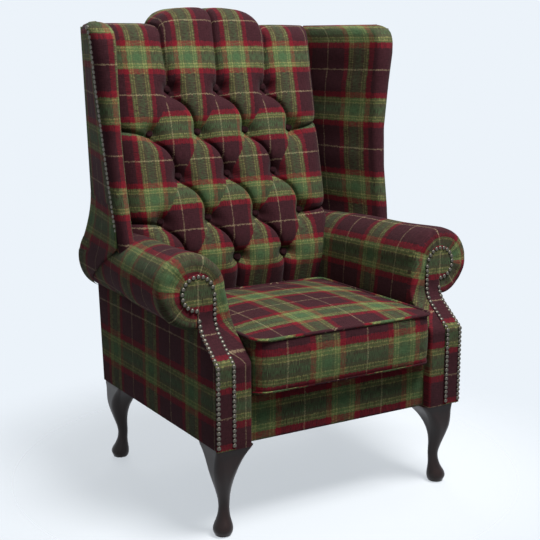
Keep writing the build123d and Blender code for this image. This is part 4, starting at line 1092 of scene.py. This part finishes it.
def cushion_panel(z, crown, cols=60, rows=60):
    """A grid of points over the cushion's plan, crowned by crown."""
    radius = CUSHION_FRONT_RADIUS
    edge = np.linspace(0, 1, 9)[1:]
    middle_x = np.linspace(-(CUSHION_HALF - radius), CUSHION_HALF - radius, cols - 16)
    x = np.concatenate([middle_x[0] - radius * edge[::-1], middle_x, middle_x[-1] + radius * edge])
    back = CUSHION_FRONT_Y + CUSHION_DEPTH - CUSHION_BACK_RADIUS
    middle_y = np.linspace(CUSHION_FRONT_Y + radius, back, rows - 13)
    fine = np.linspace(0, 1, 6)[1:]
    y = np.concatenate(
        [middle_y[0] - radius * edge[::-1], middle_y, back + CUSHION_BACK_RADIUS * fine]
    )
    grid_x, grid_y = np.meshgrid(x, y)
    flat_x, flat_y = cushion_outline(grid_x, grid_y)
    mid_y = CUSHION_FRONT_Y + CUSHION_DEPTH / 2
    a = np.clip(abs(flat_x) / CUSHION_HALF, 0, 1)
    b = np.clip(abs(flat_y - mid_y) / (CUSHION_DEPTH / 2), 0, 1)
    height = z + crown * (1 - a**2.6) * (1 - b**2.6)
    return np.stack([flat_x, flat_y, height], -1)


def border_loop(grid):
    """The edge of a grid as one closed loop of points that starts behind, in the middle."""
    loop = np.concatenate([grid[0, :-1], grid[:-1, -1], grid[-1, :0:-1], grid[:0:-1, 0]])
    start = len(grid[0]) + len(grid) - 2 + len(grid[0]) // 2
    loop = np.roll(loop, -start, axis=0)
    return np.concatenate([loop, loop[:1]])


CUSHION_CENTRE = np.array([0, CUSHION_FRONT_Y + CUSHION_DEPTH / 2])
BOXING_LEVELS = 15


def cushion_sides(top_loop, bottom_loop):
    """The boxing between two loops, slightly full, and how far along it each column is."""
    loop = top_loop
    run = lengths(loop[:, :2])
    levels = np.linspace(0, 1, BOXING_LEVELS)
    sides = np.repeat(loop[None], BOXING_LEVELS, axis=0)
    sides[:, :, 2] = CUSHION_TOP_Z + (bottom_loop[:, 2] - CUSHION_TOP_Z)[None] * levels[:, None]
    out = np.gradient(loop[:, :2], axis=0)[:, ::-1] * np.array([1, -1])
    out = out / np.maximum(np.linalg.norm(out, axis=1, keepdims=True), 1e-9)
    out = out * np.sign(((loop[:, :2] - CUSHION_CENTRE) * out).sum(1, keepdims=True))
    bulge = (np.sin(pi * levels) ** 0.8 * 0.004 - 0.003)[:, None, None]
    sides[:, :, :2] += out[None] * bulge
    sides[0], sides[-1] = loop, bottom_loop
    front = np.argmin(np.hypot(loop[:, 0], loop[:, 1] - CUSHION_FRONT_Y))
    return sides, run - run[front]


def cushion_cover():
    """Top, bottom and boxing of the seat cushion as one closed mesh; also its seam loops."""
    top = cushion_panel(CUSHION_TOP_Z, CUSHION_CROWN)
    bottom = cushion_panel(CUSHION_Z + 0.0045, 0.0)
    bottom[:, :, 2] -= 0.003 * np.clip((CUSHION_HALF - abs(bottom[:, :, 0])) / 0.02, 0, 1)
    lifted = np.clip((ARM_FRONT_Y + 0.04 - bottom[:, :, 1]) / 0.055, 0, 1) ** 1.5
    bottom[:, :, 2] += CUSHION_LIFT * lifted
    top_loop = border_loop(top)
    sides, run = cushion_sides(top_loop, border_loop(bottom))
    for grid in (sides, top, bottom):
        grid[:, :, :2] = CUSHION_CENTRE + (grid[:, :, :2] - CUSHION_CENTRE) * PANEL_SHRINK
    boxing_run = np.repeat(run[None], BOXING_LEVELS, 0)
    parts = []
    for grid, uv, way in (
        (top, check_uv("cushion_top", top[:, :, 0], top[:, :, 1]), 1),
        (bottom, bottom[:, :, :2], -1),
        (sides, check_uv("cushion_boxing", boxing_run, sides[:, :, 2] - CUSHION_Z), -1),
    ):
        quads = grid_quads(*grid.shape[:2])[:, ::way]
        parts.append((grid.reshape(-1, 3), quads, uv.reshape(-1, 2)[quads]))
    nodes = ("cushion_core", "cushion_top_panel", "cushion_bottom_panel", "cushion_boxing")
    piece = mesh_piece("seat_cushion", *joined(parts), tartan, nodes, "cushion")
    weld(piece)
    return piece, top_loop, border_loop(bottom)


def weld(piece):
    """Merges the points that neighbouring grids share."""
    work = bmesh.new()
    work.from_mesh(piece.data)
    bmesh.ops.remove_doubles(work, verts=work.verts, dist=1e-5)
    work.to_mesh(piece.data)
    work.free()


def cushion_piping(loop):
    """A round cord sewn into a seam of the cushion, with the cloth on the bias."""
    path = loop[:-1].copy()
    path[:, 2] = np.maximum(path[:, 2], CUSHION_Z + PIPING_RADIUS)
    way = np.roll(path, -1, 0) - np.roll(path, 1, 0)
    way = way / np.linalg.norm(way, axis=1, keepdims=True)
    out = np.stack([way[:, 1], -way[:, 0], np.zeros(len(way))], 1)
    path = path - out * PIPING_RADIUS * 0.9
    angle = np.linspace(0, tau, 13)
    ring = np.cos(angle)[:, None, None] * out + np.sin(angle)[:, None, None] * np.array([0, 0, 1])
    tube = path[None] + ring * PIPING_RADIUS
    tube = np.concatenate([tube, tube[:, :1]], axis=1)
    run = 0.7 * lengths(np.concatenate([path, path[:1]]))[None]
    around = 0.7 * angle[:, None] * PIPING_RADIUS
    quads = grid_quads(*tube.shape[:2])
    uv = np.stack([run + around, run - around], -1).reshape(-1, 2)
    return tube.reshape(-1, 3), quads, uv[quads]


def front_border():
    """Padded border under the cushion, rounded along its top edge."""
    foot = (BORDER_Y + 0.001, FRAME_BOTTOM)
    corners = [foot, (BORDER_Y, FRAME_BOTTOM + 0.05), (BORDER_Y, DECK_TOP)]
    profile = rounded([*corners, (BORDER_Y + 0.04, DECK_TOP)], [0.05, 0.009], [6, 16, 8])
    across = np.linspace(-ARM_INNER_X, ARM_INNER_X, 81)
    x = np.repeat(across[None], len(profile), 0)
    y, z = (columns_of(column, len(across)) for column in profile.T)
    y = y - 0.0015 * np.sin(pi * (z - FRAME_BOTTOM) / 0.11) * (1 - (x / ARM_INNER_X) ** 4)
    uv = check_uv("front_border", x, columns_of(lengths(profile), len(across)))
    piece = grid_piece("front_border", np.stack([x, y, z], -1), uv, ("front_border_cover",))


# ---------------------------------------------------------------- assembly
buttoned_back()
back_buttons()
outside_back()
for make in (wing, arm, outside_arm, wing_apron, facing):
    for side, label in ((1, "right"), (-1, "left")):
        make(side, label)
upholstery_nails()
front_border()
cushion, top_loop, bottom_loop = cushion_cover()
cords = joined([cushion_piping(top_loop), cushion_piping(bottom_loop)])
mesh_piece("cushion_piping_cord", *cords, tartan, ("cushion_piping",), "cushion")

SWELL_FRAMES = 20
SWELL_PRESSURE = 3.0
SWELL_CAP = 0.008


def swell_cushion(piece):
    """Blows the cushion up inside its sewn seams with a short cloth simulation."""
    seams = piece.vertex_groups.new(name="seams")
    rest = np.array([v.co[:] for v in piece.data.vertices])
    heights = rest[:, 2]
    at_top = abs(heights - CUSHION_TOP_Z) < 1e-4
    at_bottom = heights < CUSHION_Z + 0.006 + CUSHION_LIFT
    seams.add(np.flatnonzero(at_top | at_bottom).tolist(), 1.0, "REPLACE")
    modifier = piece.modifiers.new("Cloth", "CLOTH")
    settings = modifier.settings
    settings.vertex_group_mass = "seams"
    settings.use_pressure = True
    settings.uniform_pressure_force = SWELL_PRESSURE
    settings.effector_weights.gravity = 0
    settings.quality = 6
    modifier.point_cache.frame_end = SWELL_FRAMES
    for number in range(1, SWELL_FRAMES + 1):
        bpy.context.scene.frame_set(number)
    shaped = piece.evaluated_get(bpy.context.evaluated_depsgraph_get())
    moved = np.array([v.co[:] for v in shaped.data.vertices]) - rest
    size = np.linalg.norm(moved, axis=1, keepdims=True)
    moved = moved * np.minimum(1, SWELL_CAP / np.maximum(size, 1e-9))
    piece.modifiers.remove(modifier)
    shape = rest + moved
    between_arms = shape[:, 1] > ARM_FRONT_Y
    limit = np.where(between_arms, ARM_INNER_X - 0.0008, CUSHION_HALF + 0.01)
    shape[:, 0] = np.clip(shape[:, 0], -limit, limit)
    shape[:, 2] = np.maximum(shape[:, 2], CUSHION_Z)
    piece.data.vertices.foreach_set("co", shape.ravel())
    piece.data.update()
    bpy.context.scene.frame_set(1)


swell_cushion(cushion)


# ---------------------------------------------------------------- CAD nodes that stay
# Materials by a word in the node's name, the first that fits; any other node is frame timber.
KEPT = {
    "hanger": ZINC,
    "glides": GLIDE,
    "leg": LEG_WOOD,
    "screws": ZINC,
    "springs": STEEL,
    "clips": ZINC,
    "hessian": HESSIAN,
    "webbing": HESSIAN,
    "dust": DUST_CLOTH,
    "platform_pad": FOAM,
    "platform_cover": PLATFORM,
    "twines": HESSIAN,
    "zip_tape": ZIP_TAPE,
    "zip_slider": ZIP_METAL,
}
for node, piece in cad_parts.items():
    if piece.type == "MESH":
        finish = next((KEPT[word] for word in KEPT if word in node), FRAME_WOOD)
        piece.data.materials.clear()
        piece.data.materials.append(finish)


# ---------------------------------------------------------------- floor, light and camera
PALE = srgb(236, 243, 250)
WORLD_FILL = 0.18
LAMP_AIM = Vector((0, 0, 0.6))


def seen_rays(tree):
    """1 for the rays by which the camera, gloss and glass see the backdrop."""
    path = tree.nodes.new("ShaderNodeLightPath")
    rays = math_node(tree, "MAXIMUM", path.outputs["Is Camera Ray"], path.outputs["Is Glossy Ray"])
    return math_node(tree, "MAXIMUM", rays, path.outputs["Is Transmission Ray"])


def mix_shaders(tree, factor, a, b, output):
    """Sends a mix of two shaders to an output node."""
    blend = tree.nodes.new("ShaderNodeMixShader")
    for socket, source in zip(blend.inputs, (factor, a.outputs[0], b.outputs[0])):
        tree.links.new(source, socket)
    tree.links.new(blend.outputs[0], tree.nodes[output].inputs["Surface"])


def pale_floor():
    """Pale floor that fades into the backdrop away from the chair."""
    mesh = bpy.data.meshes.new("floor")
    size = 8.0
    corners = [(-size, -size, 0), (size, -size, 0), (size, size, 0), (-size, size, 0)]
    mesh.from_pydata(corners, [], [(0, 1, 2, 3)])
    material, tree, shader = new_material("floor_paint")
    paint = mix_colours(tree, seen_rays(tree), srgb(120, 122, 125), srgb(246, 249, 252))
    tree.links.new(paint, shader.inputs["Base Color"])
    shader.inputs["Roughness"].default_value = 0.9
    coords = tree.nodes.new("ShaderNodeTexCoord").outputs["Object"]
    distance = tree.nodes.new("ShaderNodeVectorMath")
    distance.operation = "LENGTH"
    tree.links.new(coords, distance.inputs[0])
    fade = tree.nodes.new("ShaderNodeMapRange")
    fade.interpolation_type = "SMOOTHSTEP"
    for key, value in (("From Min", 0.42), ("From Max", 0.95), ("To Min", 0.62)):
        fade.inputs[key].default_value = value
    tree.links.new(distance.outputs["Value"], fade.inputs["Value"])
    clear = tree.nodes.new("ShaderNodeBsdfTransparent")
    mix_shaders(tree, fade.outputs[0], shader, clear, "Material Output")
    mesh.materials.append(material)
    new_object("floor", mesh)


def pale_world():
    """Even fill light, seen by the camera and in reflections as the pale backdrop."""
    world = bpy.data.worlds.new("studio")
    bpy.context.scene.world = world
    world.use_nodes = True
    tree = world.node_tree
    fill = tree.nodes["Background"]
    fill.inputs["Color"].default_value = (0.93, 0.96, 1.0, 1)
    fill.inputs["Strength"].default_value = WORLD_FILL
    seen = tree.nodes.new("ShaderNodeBackground")
    seen.inputs["Color"].default_value = PALE
    seen.inputs["Strength"].default_value = 1.0
    mix_shaders(tree, seen_rays(tree), fill, seen, "World Output")


def pointed(thing, place, way):
    """Puts a lamp or camera at a place, looking along a direction."""
    thing.location = place
    thing.rotation_euler = Vector(way).to_track_quat("-Z", "Y").to_euler()


def area_light(name, place, size, power):
    """A soft square lamp aimed at the middle of the chair."""
    data = bpy.data.lights.new(name, "AREA")
    data.size = size
    data.energy = power
    pointed(new_object(name, data), place, LAMP_AIM - Vector(place))


def photo_camera():
    """The photograph's view of the chair."""
    data = bpy.data.cameras.new("camera")
    data.lens = 73.11
    data.sensor_width = 36
    camera = new_object("camera", data)
    pointed(camera, (-1.3388, -2.2229, 1.0236), (0.5092, 0.8370, -0.2006))
    bpy.context.scene.camera = camera


pale_floor()
pale_world()
area_light("key", (0.45, -1.5, 3.3), 1.3, 140)
area_light("back_fill", (0.8, 2.8, 2.4), 2.0, 34)
photo_camera()
bpy.context.scene.view_settings.view_transform = "Standard"
